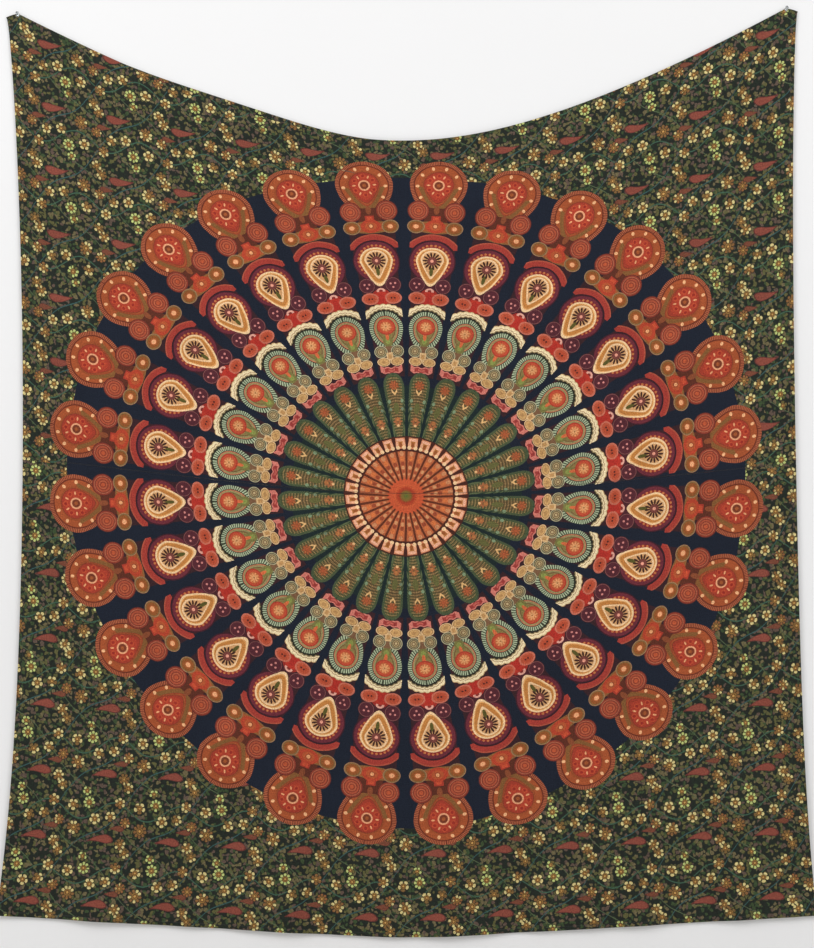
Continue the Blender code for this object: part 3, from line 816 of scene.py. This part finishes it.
colour = hand.spot(colour, petal, (0.0078, 0.1310), 0.0050, [(1.0, ink(240, 198, 150))])
colour = hand.spot(colour, petal, (0.0, 0.1390), (0.0034, 0.0070), [(1.0, ink(150, 84, 44))])
for out, size, dot in ((0.1150, 0.0054, ink(200, 132, 90)), (0.1010, 0.0056, ink(206, 112, 62)),
                       (0.0880, 0.0048, ink(150, 70, 44)), (0.0770, 0.0042, ink(206, 142, 96)),
                       (0.0670, 0.0034, ink(160, 76, 48)), (0.0590, 0.0028, ink(208, 134, 90))):
    colour = hand.spot(colour, petal, (0.0, out), (size, 1.25 * size), [(1.0, dot)])
sun_edge = hand.math("MULTIPLY_ADD", spread, 0.007, far)
colour = hand.rings(colour, hand.math("MULTIPLY", sun_edge, EDGE / 0.0500),
                    [(0.18, ink(96, 104, 46)), (0.36, ink(120, 100, 46)), (0.46, ink(156, 58, 34)),
                     (0.60, ink(172, 64, 38)), (0.66, ink(206, 98, 56)), (1.0, ink(194, 84, 50))])
finish_group(hand, Color=colour, Mask=inside)
print("wheel:", len(wheel_tree.nodes), "nodes")

# %% [markdown]
# ## Weave
#
# Plain weave is the simplest cloth there is: each thread goes over one and under the next. Close
# up it is a chequer of tiny humps; from a few steps away what shows is slub, the slow thick and
# thin of hand-spun yarn that leaves faint streaks along and across the cloth. One group makes both,
# and every cotton surface here uses it.

# %% The weave group
weave_tree, hand, given = new_group(
    "Plain weave", [("X", 0.0), ("Y", 0.0), ("Threads per metre", 2200.0), ("Slub", 0.5)],
    [("Height", "Float"), ("Shade", "Float")])
turn_rate = hand.math("MULTIPLY", given["Threads per metre"], math.pi)
along, over = (hand.math("MULTIPLY", given[axis], turn_rate) for axis in ("X", "Y"))
warp = hand.math("ABSOLUTE", hand.math("SINE", along))
weft = hand.math("ABSOLUTE", hand.math("SINE", over))
chequer = hand.math("MULTIPLY", hand.math("SINE", hand.math("MULTIPLY", along, 0.5)),
                    hand.math("SINE", hand.math("MULTIPLY", over, 0.5)))
hump = hand.choose(hand.math("GREATER_THAN", chequer, 0.0), warp, weft)
streaks = [hand.texture("ShaderNodeTexNoise", (given["X"], given["Y"]), scale,
                        {"Scale": 1.0, "Detail": 2.0}, noise_dimensions="2D")[0]
           for scale in ((14.0, 420.0), (420.0, 14.0))]
slub = hand.math("SUBTRACT", hand.math("ADD", *streaks), 1.0)
slub = hand.math("MULTIPLY", slub, given["Slub"])
finish_group(hand, Height=hand.math("MULTIPLY_ADD", hump, 0.5, slub), Shade=hand.math("ADD", slub, 1.0))
print("weave:", len(weave_tree.nodes), "nodes")

# %% [markdown]
# ## The whole print as one group
#
# Wheel and floral ground meet in one group, so that the front of the cloth, its turned hems and its
# pale back all use the same drawing. The screens of a hand print never line up perfectly,
# so the place is nudged by a slow noise of about a millimetre before anything is drawn. Ink
# also sinks unevenly into cotton: a mottle makes it patchy by a few parts in a hundred.

# %% The print group
WHEEL_CENTRE = (-0.0087, -0.0061)
WHEEL_STRETCH = 1.0613     # the cloth was pulled wider after printing, so the wheel is an oval
FLORAL_START = (0.1427, 0.0142)
FLORAL_SLIP = (0.0065, -0.0027)  # how far the two halves of the ground missed each other
NUDGE = 0.0022

print_tree, hand, given = new_group("Block print", [("X", 0.0), ("Y", 0.0)],
                                    [("Color", "Color"), ("Ink", "Float")])
place = (given["X"], given["Y"])


def noise(hand, place, scale, detail):
    return hand.texture("ShaderNodeTexNoise", place, inputs={"Scale": scale, "Detail": detail},
                        noise_dimensions="2D")


wobble = noise(hand, place, 26.0, 1.0)
wobble = hand.node("ShaderNodeSeparateColor", {0: wobble["Color"]}).outputs
printed = []
for axis in (0, 1):
    nudged = hand.math("MULTIPLY_ADD", wobble[axis], NUDGE, place[axis])
    printed.append(hand.math("SUBTRACT", nudged, WHEEL_CENTRE[axis] + 0.5 * NUDGE))
upright = hand.math("SIGN", printed[1])
slip = noise(hand, printed, 19.0, 1.0)[0]
ground = (printed[0], hand.math("MULTIPLY_ADD", printed[0], -0.0064, printed[1]))  # printed a little askew
shifted = [hand.math("MULTIPLY_ADD", hand.math("SUBTRACT", ground[axis], FLORAL_SLIP[axis]), upright,
                     hand.math("MULTIPLY_ADD", slip, 0.0030, -0.0015 - FLORAL_START[axis]))
           for axis in (0, 1)]
floral = hand.place_group(floral_tree, X=shifted[0], Y=shifted[1])["Color"]
narrowed = hand.math("MULTIPLY", printed[0], 1 / WHEEL_STRETCH)
wheel = hand.place_group(wheel_tree, X=narrowed, Y=printed[1])
drawn = hand.mix(wheel["Mask"], floral, wheel["Color"])
mottle = noise(hand, place, 9.0, 3.0)[0]
speck = noise(hand, place, 330.0, 1.0)[0]
strength = hand.math("MULTIPLY_ADD", mottle, 0.30, hand.math("MULTIPLY_ADD", speck, 1.10, 0.3))
finish_group(hand, Color=hand.mix(1.0, drawn, hand.grey(strength), "MULTIPLY"), Ink=strength)
print("print:", len(print_tree.nodes), "nodes")

# %% [markdown]
# ## Cotton, printed and plain
#
# The print goes on one face. The back shows it only where the ink soaked through: paler, greyer
# and softer. The Geometry node knows which face is seen, so one material serves both sides of
# the sheet. Cotton is matt with a slight bloom of loose fibres, which is what sheen is for.

# %% The cotton materials


def new_material(name, roughness=0.9, metallic=0.0):
    material = bpy.data.materials.new(name)
    material.use_nodes = True
    hand = Hand(material.node_tree)
    shader = material.node_tree.nodes["Principled BSDF"]
    shader.inputs["Roughness"].default_value = roughness
    shader.inputs["Metallic"].default_value = metallic
    shader.location = (1400, 0)
    material.node_tree.nodes["Material Output"].location = (1700, 0)
    return material, hand, shader


def dress(hand, shader, colour, roughness, height, strength, distance):
    """Wire a colour, a roughness and a bump into a surface."""
    hand.tree.links.new(colour, shader.inputs["Base Color"])
    if roughness is not None:
        hand.tree.links.new(roughness, shader.inputs["Roughness"])
    bump = hand.node("ShaderNodeBump", {"Height": height, "Strength": strength, "Distance": distance})
    hand.tree.links.new(bump.outputs[0], shader.inputs["Normal"])


def flat_place(hand):
    """The flat coordinates in metres, as a pair of numbers."""
    flat = hand.node("ShaderNodeUVMap", uv_map="flat").outputs[0]
    return hand.node("ShaderNodeSeparateXYZ", {0: flat}).outputs[:2]


def cotton(name, backs):
    """Printed cotton; backs says whether its paler face can be seen, or is all that is seen."""
    material, hand, shader = new_material(name)
    x, y = flat_place(hand)
    printed = hand.place_group(print_tree, X=x, Y=y)
    colour = printed["Color"]
    if backs != "none":
        soaked = hand.mix(0.42, colour, ink(120, 112, 104))
        behind = 1.0 if backs == "only" else hand.node("ShaderNodeNewGeometry").outputs["Backfacing"]
        colour = hand.mix(behind, colour, soaked)
    weave = hand.place_group(weave_tree, X=x, Y=y, Threads_per_metre=2200.0, Slub=0.5)
    colour = hand.mix(0.55, colour, hand.grey(weave["Shade"]), "MULTIPLY")
    roughness = hand.math("MULTIPLY_ADD", printed["Ink"], -0.12, 0.98)
    dress(hand, shader, colour, roughness, weave["Height"], 0.35, 0.0004)
    shader.inputs["Sheen Weight"].default_value = 0.06
    shader.inputs["Sheen Roughness"].default_value = 0.5
    shader.inputs["Specular IOR Level"].default_value = 0.2
    return material


printed_cotton = cotton("printed cotton", "both")
hem_cotton = cotton("printed cotton of the hems", "none")
back_cotton = cotton("reverse of the cotton", "only")
print("cotton materials:", printed_cotton.name, "/", hem_cotton.name, "/", back_cotton.name)

# %% [markdown]
# ## Thread, plastic and steel
#
# The seams are sewn with dark spun polyester: two plies twisted round each other, with a fuzz
# that softens the highlight. The push pins have moulded clear plastic heads, a little cloudy and
# scuffed at the rim, and needles of drawn steel with fine lines along the wire.

# %% The other materials
thread_material, hand, shader = new_material("dark sewing thread", 0.75)
place = flat_place(hand)
twist = hand.math("SINE", hand.math("MULTIPLY_ADD", place[0], 5200.0,
                                    hand.math("MULTIPLY", place[1], 9000.0)))
fuzz = noise(hand, place, 900.0, 2.0)[0]
# The twist stripes in the thread's colour are painted shade in the grooves between the plies and painted
# light on their crowns; the fuzz part is the thread's own uneven tone.
ply_shade_and_fuzz = hand.math("MULTIPLY_ADD", twist, 0.25, fuzz, clamp=True)
dress(hand, shader, hand.mix(ply_shade_and_fuzz, ink(34, 34, 40), ink(74, 72, 76)),
      hand.math("MULTIPLY_ADD", fuzz, 0.3, 0.6), twist, 0.5, 0.0001)
shader.inputs["Sheen Weight"].default_value = 0.2


def solid_noise(hand, stretch, detail):
    """Noise through the solid, in the object's own metres, stretched differently along each axis."""
    place = hand.node("ShaderNodeTexCoord").outputs["Object"]
    scaled = hand.node("ShaderNodeVectorMath", {0: place, 1: stretch}, operation="MULTIPLY").outputs[0]
    return hand.node("ShaderNodeTexNoise", {"Vector": scaled, "Scale": 1.0, "Detail": detail}).outputs[0]


plastic_material, hand, shader = new_material("clear moulded plastic", 0.08)
cloud = solid_noise(hand, (420.0, 420.0, 420.0), 3.0)
scuff = solid_noise(hand, (900.0, 900.0, 3000.0), 2.0)
dress(hand, shader, hand.mix(cloud, ink(240, 244, 246), ink(222, 228, 232)),
      hand.math("MULTIPLY_ADD", scuff, 0.22, 0.02), cloud, 0.15, 0.0002)
shader.inputs["Transmission Weight"].default_value = 0.85
shader.inputs["IOR"].default_value = 1.49

steel_material, hand, shader = new_material("drawn needle steel", 0.25, 1.0)
lines = solid_noise(hand, (9000.0, 500.0, 500.0), 2.0)
dress(hand, shader, hand.mix(lines, (0.50, 0.50, 0.52, 1.0), (0.72, 0.72, 0.74, 1.0)),
      hand.math("MULTIPLY_ADD", lines, 0.25, 0.12), lines, 0.1, 0.00005)

for node, material in (("pin_left_head", plastic_material), ("pin_right_head", plastic_material),
                       ("pin_left_needle", steel_material), ("pin_right_needle", steel_material)):
    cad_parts[node].data.materials.clear()
    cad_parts[node].data.materials.append(material)

# %% [markdown]
# ## The upper width of cloth
#
# The top edge of the cloth is longer than the gap between the pins, so the slack has to go
# somewhere. It drops behind: from its hemmed edge the cloth runs down behind itself, turns, comes
# up again, rolls over the fold and only then hangs down the front. Each column of the mesh
# follows that path. The turns are little half circles, so that the fold has a soft roll and not a
# knife edge.

# %% Columns of the upper width
SHARES = edge_spacing(CLOTH_WIDTH, 0.0085) / (0.5 * CLOTH_WIDTH) - 1.0
COLUMNS = len(SHARES)
REAR_ROWS, TURN_ROWS = 12, 3
FRONT_ROWS = 138

fold_line = fold_t(SHARES)
hidden = np.maximum(fold_line * CLOTH_HEIGHT, 0.004)
rise = peek(SHARES)
rear_length, middle_length = 0.5 * (hidden + rise), 0.5 * (hidden - rise)
layer_gap = LAYER_GAP + 0.0011 * smooth_step(middle_length, 0.002, 0.03)
fold_x = hung_x(SHARES, fold_line)
fold_height = hung_z(SHARES, fold_line)
front_y = -stand_off(SHARES, fold_line)
middle_y, rear_y = front_y + layer_gap, front_y + 2.0 * layer_gap
turn_radius = 0.5 * layer_gap
rear_top = fold_height + rise - 0.0008
turn_height = rear_top - rear_length

rows = []                  # one entry per row: x, y, z and t, each an array across the columns


def add_row(x, y, z, t):
    rows.append(tuple(np.broadcast_to(v, SHARES.shape) for v in (x, y, z, t)))


for share in np.linspace(0.0, 1.0, REAR_ROWS):
    add_row(fold_x, rear_y, rear_top - share * rear_length, share * rear_length / CLOTH_HEIGHT)
for angle in np.linspace(0.0, np.pi, TURN_ROWS + 2)[1:-1]:
    add_row(fold_x, 0.5 * (rear_y + middle_y) + turn_radius * np.cos(angle),
            turn_height - turn_radius * np.sin(angle), (rear_length + turn_radius * angle) / CLOTH_HEIGHT)
for share in np.linspace(0.0, 1.0, REAR_ROWS):
    top_of_middle = fold_height - turn_radius
    add_row(fold_x, middle_y, turn_height + share * (top_of_middle - turn_height),
            (rear_length + share * middle_length) / CLOTH_HEIGHT)
for angle in np.linspace(0.0, np.pi, TURN_ROWS + 2)[1:-1]:
    add_row(fold_x, 0.5 * (front_y + middle_y) + turn_radius * np.cos(angle),
            fold_height - turn_radius + turn_radius * np.sin(angle), fold_line)
seam_gap_t = LAYER_GAP / HANG_HEIGHT
below_fold = np.concatenate([[0.0008, 0.0025, 0.005, 0.009], np.linspace(0.014, 1.0, FRONT_ROWS)])
above_seam = 1.0 - np.array([0.0062, 0.0045, 0.0032, 0.0022, 0.0014, 0.0007, 0.0])
to_seam = np.unique(np.round(np.concatenate([below_fold[:-1], above_seam]), 5))
for share in to_seam:
    t = fold_line + share * (SEAM_T - seam_gap_t - fold_line)
    add_row(hung_x(SHARES, t), -stand_off(SHARES, t), hung_z(SHARES, t), t)
rows_x, rows_y, rows_z, rows_t = (np.stack([row[i] for row in rows]) for i in range(4))
ROWS = len(rows)
print("upper width:", ROWS, "rows by", COLUMNS, "columns; deepest pleat",
      round(float(middle_length.max()) * 1000), "mm")

# %% The upper width
flat_u, _ = flat_of(SHARES, 0.0)
points = np.stack([rows_x, rows_y, rows_z], -1).reshape(-1, 3).tolist()
flat = np.stack([np.broadcast_to(flat_u, rows_t.shape), CLOTH_HEIGHT * (0.5 - rows_t)], -1)
upper = make_piece("upper_width", points, grid_faces(ROWS, COLUMNS), flat.reshape(-1, 2).tolist(),
                   printed_cotton, "cloth")

# %% [markdown]
# ## The lower width of cloth
#
# Below the seam the cloth hangs free, so its mesh is a plain grid, only closer together near the
# seam, the sides and the bottom hem, where the stitching draws it in.

# %% The lower width
lower_steps = 0.5 * CLOTH_HEIGHT - edge_spacing(0.5 * CLOTH_HEIGHT, 0.0085)[::-1]
lower_steps = np.unique(np.round(np.concatenate([[0.0, 0.0008, 0.0016, 0.0026, 0.0038, 0.0052, 0.007],
                                                 lower_steps[lower_steps > 0.009]]), 6))
t_rows = SEAM_T + seam_gap_t + lower_steps / (0.5 * CLOTH_HEIGHT) * (1.0 - SEAM_T - seam_gap_t)
lower_s, lower_t = np.meshgrid(SHARES, t_rows)
points = np.stack([hung_x(lower_s, lower_t), -stand_off(lower_s, lower_t), hung_z(lower_s, lower_t)], -1)
flat = np.stack(flat_of(lower_s, lower_t), -1)
lower = make_piece("lower_width", points.reshape(-1, 3), grid_faces(len(t_rows), COLUMNS),
                   flat.reshape(-1, 2), printed_cotton, "cloth")
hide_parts("upper_panel")
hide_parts("lower_panel")

# %% [markdown]
# ## Hems
#
# A hem is the cloth's own edge, turned back twice so that the cut edge is hidden, and stitched
# down. It is about 12 mm wide. Each one here is a flat closed tube that lies behind the edge of
# the cloth: full and round at the turn, pressed flat at the stitching, with small puckers between
# the stitches. Since the turned part shows the printed face, the print carries on round the edge,
# mirrored by the fold.

# %% The hem maker
STITCH_INSET = 0.010
# across the hem: distance in from the edge, and offset toward the wall, front face first
HEM_SECTION = ((0.0000, 0.00050), (0.0012, 0.00012), (0.0040, 0.00012), (0.0085, 0.00012),
               (0.0112, 0.00015), (0.0120, 0.00050), (0.0113, 0.00088), (0.0095, 0.00075),
               (0.0070, 0.00110), (0.0035, 0.00118), (0.0010, 0.00100))


def closed_strip(name, edge, inward, outward_y, flat_edge, flat_inward, nodes, material,
                 section=HEM_SECTION):
    """A flat closed tube along an edge. edge and inward are (x, z) arrays; y runs toward the wall."""
    count = len(edge)
    across = len(section)
    along = np.concatenate([[0], np.cumsum(np.hypot(*np.diff(edge, axis=0).T))])
    points, flat = np.zeros((across, count, 3)), np.zeros((across, count, 2))
    for row, (inset, back) in enumerate(section):
        pucker = 0.00010 * np.sin(2 * np.pi * along / 0.0085) * (1 if back > 0.0006 else 0)
        width = inset + 0.0004 * np.sin(2 * np.pi * along / 0.043 + 2.0) * (inset > 0.009)
        points[row, :, 0] = edge[:, 0] + inward[:, 0] * width
        points[row, :, 2] = edge[:, 1] + inward[:, 1] * width
        points[row, :, 1] = outward_y(width) + back + pucker
        turned = -inset if back > 0.0003 else inset
        flat[row] = flat_edge + flat_inward * turned
    faces = grid_faces(across, count, closed_rows=True)
    faces.append([row * count for row in range(across)])
    faces.append([row * count + count - 1 for row in range(across)][::-1])
    piece = make_piece(name, points.reshape(-1, 3), faces, flat.reshape(-1, 2), material, "cloth")
    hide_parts(*nodes)
    return piece


def side_hem(name, side, node):
    t = np.linspace(0.0125, 1.0 - 0.0125 / HANG_HEIGHT, 560)
    edge = np.stack([hung_x(side, t), hung_z(side, t)], -1)
    inward = np.stack([np.full_like(t, -side), np.zeros_like(t)], -1)
    flat_edge = np.stack(flat_of(np.full_like(t, side), t), -1)
    return closed_strip(name, edge, inward,
                        lambda width: -stand_off(side * (1.0 - width / half_width(t)), t),
                        flat_edge, np.array([-side, 0.0]), [node], hem_cotton)


def bottom_hem():
    s = np.linspace(-1.0, 1.0, 520)
    t = np.ones_like(s)
    edge = np.stack([hung_x(s, t), hung_z(s, t)], -1)
    inward = np.stack([np.zeros_like(s), np.ones_like(s)], -1)
    flat_edge = np.stack(flat_of(s, t), -1)
    return closed_strip("hem_bottom", edge, inward, lambda width: -stand_off(s, 1.0 - width / HANG_HEIGHT),
                        flat_edge, np.array([0.0, 1.0]), ["bottom_hem"], hem_cotton)


def top_hem():
    s = np.linspace(-0.995, 0.995, 520)
    edge = np.stack([np.interp(s, SHARES, fold_x), np.interp(s, SHARES, rear_top)], -1)
    inward = np.stack([np.zeros_like(s), -np.ones_like(s)], -1)
    flat_edge = np.stack(flat_of(s, np.zeros_like(s)), -1)
    rear = np.interp(s, SHARES, rear_y)
    return closed_strip("hem_top", edge, inward, lambda width: rear, flat_edge, np.array([0.0, -1.0]),
                        ["top_hem"], hem_cotton)


hem_left = side_hem("hem_left", -1.0, "left_hem")
hem_right = side_hem("hem_right", 1.0, "right_hem")
hem_bottom = bottom_hem()
hem_top = top_hem()

# %% [markdown]
# ## The seam allowance
#
# Where the two widths are joined, both edges are turned to the back and pressed open: two little
# flaps, 5 mm each, either side of the seam. They show the unprinted face.

# %% Two flaps pressed open
s = np.linspace(-0.985, 0.985, 420)
t = np.full_like(s, SEAM_T)
edge = np.stack([hung_x(s, t), hung_z(s, t) + 0.005], -1)
down = np.stack([np.zeros_like(s), -np.ones_like(s)], -1)
FLAPS = ((0.0000, 0.00035), (0.0008, 0.00012), (0.0038, 0.00012), (0.0050, 0.00050), (0.0062, 0.00012),
         (0.0092, 0.00012), (0.0100, 0.00035), (0.0092, 0.00075), (0.0062, 0.00085), (0.0050, 0.00105),
         (0.0038, 0.00085), (0.0008, 0.00075))
seam_flaps = closed_strip("seam_flaps", edge, down,
                          lambda width: -stand_off(s, SEAM_T + (width - 0.005) / HANG_HEIGHT) + 0.0002,
                          np.stack(flat_of(s, t), -1) + np.array([0.0, 0.005]), np.array([0.0, -1.0]),
                          ["seam_allowance"], back_cotton, FLAPS)

# %% [markdown]
# ## Stitches
#
# A sewing machine makes a lockstitch: one thread stays on the face, a second on the back, and they
# hook round each other inside the cloth at every needle hole. Seen from either side it is a
# row of short raised dashes. So each line of stitching here is two thin tubes that rise over
# the cloth for most of a stitch and dive into it at the end.

# %% The stitch maker
STITCH = 0.0040
THREAD_RADIUS = 0.00020
STITCH_PROFILE = ((0.0, -0.00005), (0.10, 0.00016), (0.32, 0.00026), (0.68, 0.00026), (0.90, 0.00016))


def tube(path, radius, sides=5):
    """A thin tube round a path of points, as points, faces and flat coordinates."""
    ahead = np.gradient(path, axis=0)
    ahead /= np.linalg.norm(ahead, axis=1)[:, None]
    up = np.cross(ahead, np.array([0.0, 1.0, 0.0]))
    up /= np.linalg.norm(up, axis=1)[:, None]
    out = np.cross(up, ahead)
    along = np.concatenate([[0], np.cumsum(np.linalg.norm(np.diff(path, axis=0), axis=1))])
    points, flat = [], []
    for number in range(sides):
        angle = 2 * np.pi * number / sides
        points.append(path + radius * (np.cos(angle) * up + np.sin(angle) * out))
        flat.append(np.stack([along, np.full_like(along, number * 2 * np.pi * radius / sides)], -1))
    count = len(path)
    faces = grid_faces(sides, count, closed_rows=True)
    faces.append([row * count for row in range(sides)])
    faces.append([row * count + count - 1 for row in range(sides)][::-1])
    return np.concatenate(points), faces, np.concatenate(flat)


def stitch_line(name, line, node, thick):
    """line gives (x, y, z) of the printed face along the stitching; thick is how deep the seam is."""
    along = np.concatenate([[0], np.cumsum(np.linalg.norm(np.diff(line, axis=0), axis=1))])
    stitches = int(along[-1] / STITCH)
    starts = np.arange(stitches) * STITCH
    places = np.concatenate([starts + share * STITCH for share, _ in STITCH_PROFILE])
    lift = np.concatenate([np.full(stitches, height) for _, height in STITCH_PROFILE])
    order = np.argsort(places, kind="stable")
    places, lift = places[order], lift[order]
    on_line = np.stack([np.interp(places, along, line[:, k]) for k in range(3)], -1)
    face, back = on_line.copy(), on_line.copy()
    face[:, 1] -= lift + 0.00008
    back[:, 1] += thick + lift + 0.00008
    made = [tube(path, THREAD_RADIUS) for path in (face, back)]
    points = np.concatenate([m[0] for m in made])
    faces = made[0][1] + [[i + len(made[0][0]) for i in f] for f in made[1][1]]
    piece = make_piece(name, points, faces, np.concatenate([m[2] for m in made]), thread_material, "cloth")
    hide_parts(node)
    print(name, "has", stitches, "stitches")
    return piece


def side_line(side):
    t = np.linspace(0.014, 1.0 - 1.3 * STITCH_INSET / HANG_HEIGHT, 900)
    s = side * (1.0 - STITCH_INSET / half_width(t))
    return np.stack([hung_x(s, t), -stand_off(s, t), hung_z(s, t)], -1)


def row_line(t_value, lift):
    s = np.linspace(-0.985, 0.985, 900)
    t = np.full_like(s, t_value) - lift / HANG_HEIGHT
    return np.stack([hung_x(s, t), -stand_off(s, t), hung_z(s, t)], -1)


def top_line():
    s = np.linspace(-0.985, 0.985, 900)
    height = np.interp(s, SHARES, rear_top) - STITCH_INSET
    return np.stack([np.interp(s, SHARES, fold_x), np.interp(s, SHARES, rear_y), height], -1)


threads = [
    stitch_line("stitching_left", side_line(-1.0), "left_hem_thread", 0.0009),
    stitch_line("stitching_right", side_line(1.0), "right_hem_thread", 0.0009),
    stitch_line("stitching_bottom", row_line(1.0, STITCH_INSET), "bottom_hem_thread", 0.0009),
    stitch_line("stitching_seam", row_line(SEAM_T, 0.0015), "seam_thread", 0.0008),
    stitch_line("stitching_top", top_line(), "top_hem_thread", 0.0009),
]

# %% [markdown]

# %% [markdown]
# ## Wall, floor, light and camera
#
# The wall is white, and it only exists seen from the room: from behind it is see-through, and it
# lets light pass, so that the back of the cloth can be looked at as well. Large soft lights from
# the upper left and the right, and a bright sky, give the even light of a bright room. The camera
# stands five metres back, square to the wall, with a long lens.

# %% The stage
WALL_LIFT = 0.0006
FLOOR_HEIGHT = float(cad_low.z) - 0.17


def stage_plane(name, corners, material):
    mesh = bpy.data.meshes.new(name)
    mesh.from_pydata(corners, [], [list(range(len(corners)))])
    mesh.materials.append(material)
    plane = bpy.data.objects.new(name, mesh)
    bpy.context.scene.collection.objects.link(plane)
    return plane


def plaster(name, colour, one_sided):
    material, hand, shader = new_material(name, 0.95)
    place = hand.node("ShaderNodeTexCoord").outputs["Object"]
    grain = hand.node("ShaderNodeTexNoise", {"Vector": place, "Scale": 180.0, "Detail": 4.0}).outputs[0]
    blotch = hand.node("ShaderNodeTexNoise", {"Vector": place, "Scale": 1.4, "Detail": 2.0}).outputs[0]
    darker = tuple(0.97 * c for c in colour)
    dress(hand, shader, hand.mix(blotch, (*darker, 1.0), (*colour, 1.0)), None, grain, 0.08, 0.001)
    shader.inputs["Specular IOR Level"].default_value = 0.1
    if one_sided:
        clear = hand.node("ShaderNodeBsdfTransparent").outputs[0]
        front = hand.math("SUBTRACT", 1.0, hand.node("ShaderNodeNewGeometry").outputs["Backfacing"])
        shown = hand.math("MULTIPLY", front, hand.node("ShaderNodeLightPath").outputs["Is Camera Ray"])
        chosen = hand.node("ShaderNodeMixShader", {0: shown, 1: clear, 2: shader.outputs[0]})
        hand.tree.links.new(chosen.outputs[0], material.node_tree.nodes["Material Output"].inputs[0])
    return material


stage_plane("wall", [(x, WALL_LIFT, z)
                     for x, z in ((-6, FLOOR_HEIGHT), (6, FLOOR_HEIGHT), (6, 4), (-6, 4))],
            plaster("white wall paint", (0.85, 0.85, 0.855), True))
stage_plane("floor", [(x, y, FLOOR_HEIGHT) for x, y in ((-6, -8), (6, -8), (6, 6), (-6, 6))],
            plaster("pale floor", (0.78, 0.77, 0.75), False))

# %% Lights
world = bpy.data.worlds.new("bright room")
bpy.context.scene.world = world
world.use_nodes = True
world.node_tree.nodes["Background"].inputs["Color"].default_value = (1.0, 1.0, 1.0, 1.0)
world.node_tree.nodes["Background"].inputs["Strength"].default_value = 0.62


def soft_light(name, place, aim, size, power):
    data = bpy.data.lights.new(name, "AREA")
    data.shape = "RECTANGLE"
    data.size, data.size_y = size
    data.energy = power
    light = bpy.data.objects.new(name, data)
    light.location = place
    direction = np.array(aim) - np.array(place)
    light.rotation_euler = Vector(direction).to_track_quat("-Z", "Y").to_euler()
    bpy.context.scene.collection.objects.link(light)
    return light


soft_light("window", (-3.4, -3.4, 2.2), (0.0, 0.0, -1.0), (2.6, 2.6), 125.0)
soft_light("fill", (3.2, -3.9, 1.6), (0.0, 0.0, -1.0), (2.6, 2.6), 85.0)

# %% Camera
VIEW_HEIGHT = 2.436
CAMERA_DISTANCE = 5.0
camera_data = bpy.data.cameras.new("camera")
camera_data.sensor_width = 36.0
camera_data.lens = 36.0 * CAMERA_DISTANCE / VIEW_HEIGHT
camera = bpy.data.objects.new("camera", camera_data)
camera.location = (0.0129, -CAMERA_DISTANCE, -1.184)
camera.rotation_euler = (0.5 * math.pi, 0.0, 0.0)
bpy.context.scene.collection.objects.link(camera)
bpy.context.scene.camera = camera
bpy.context.scene.view_settings.view_transform = "Standard"
print("lens:", round(camera_data.lens, 1), "mm")
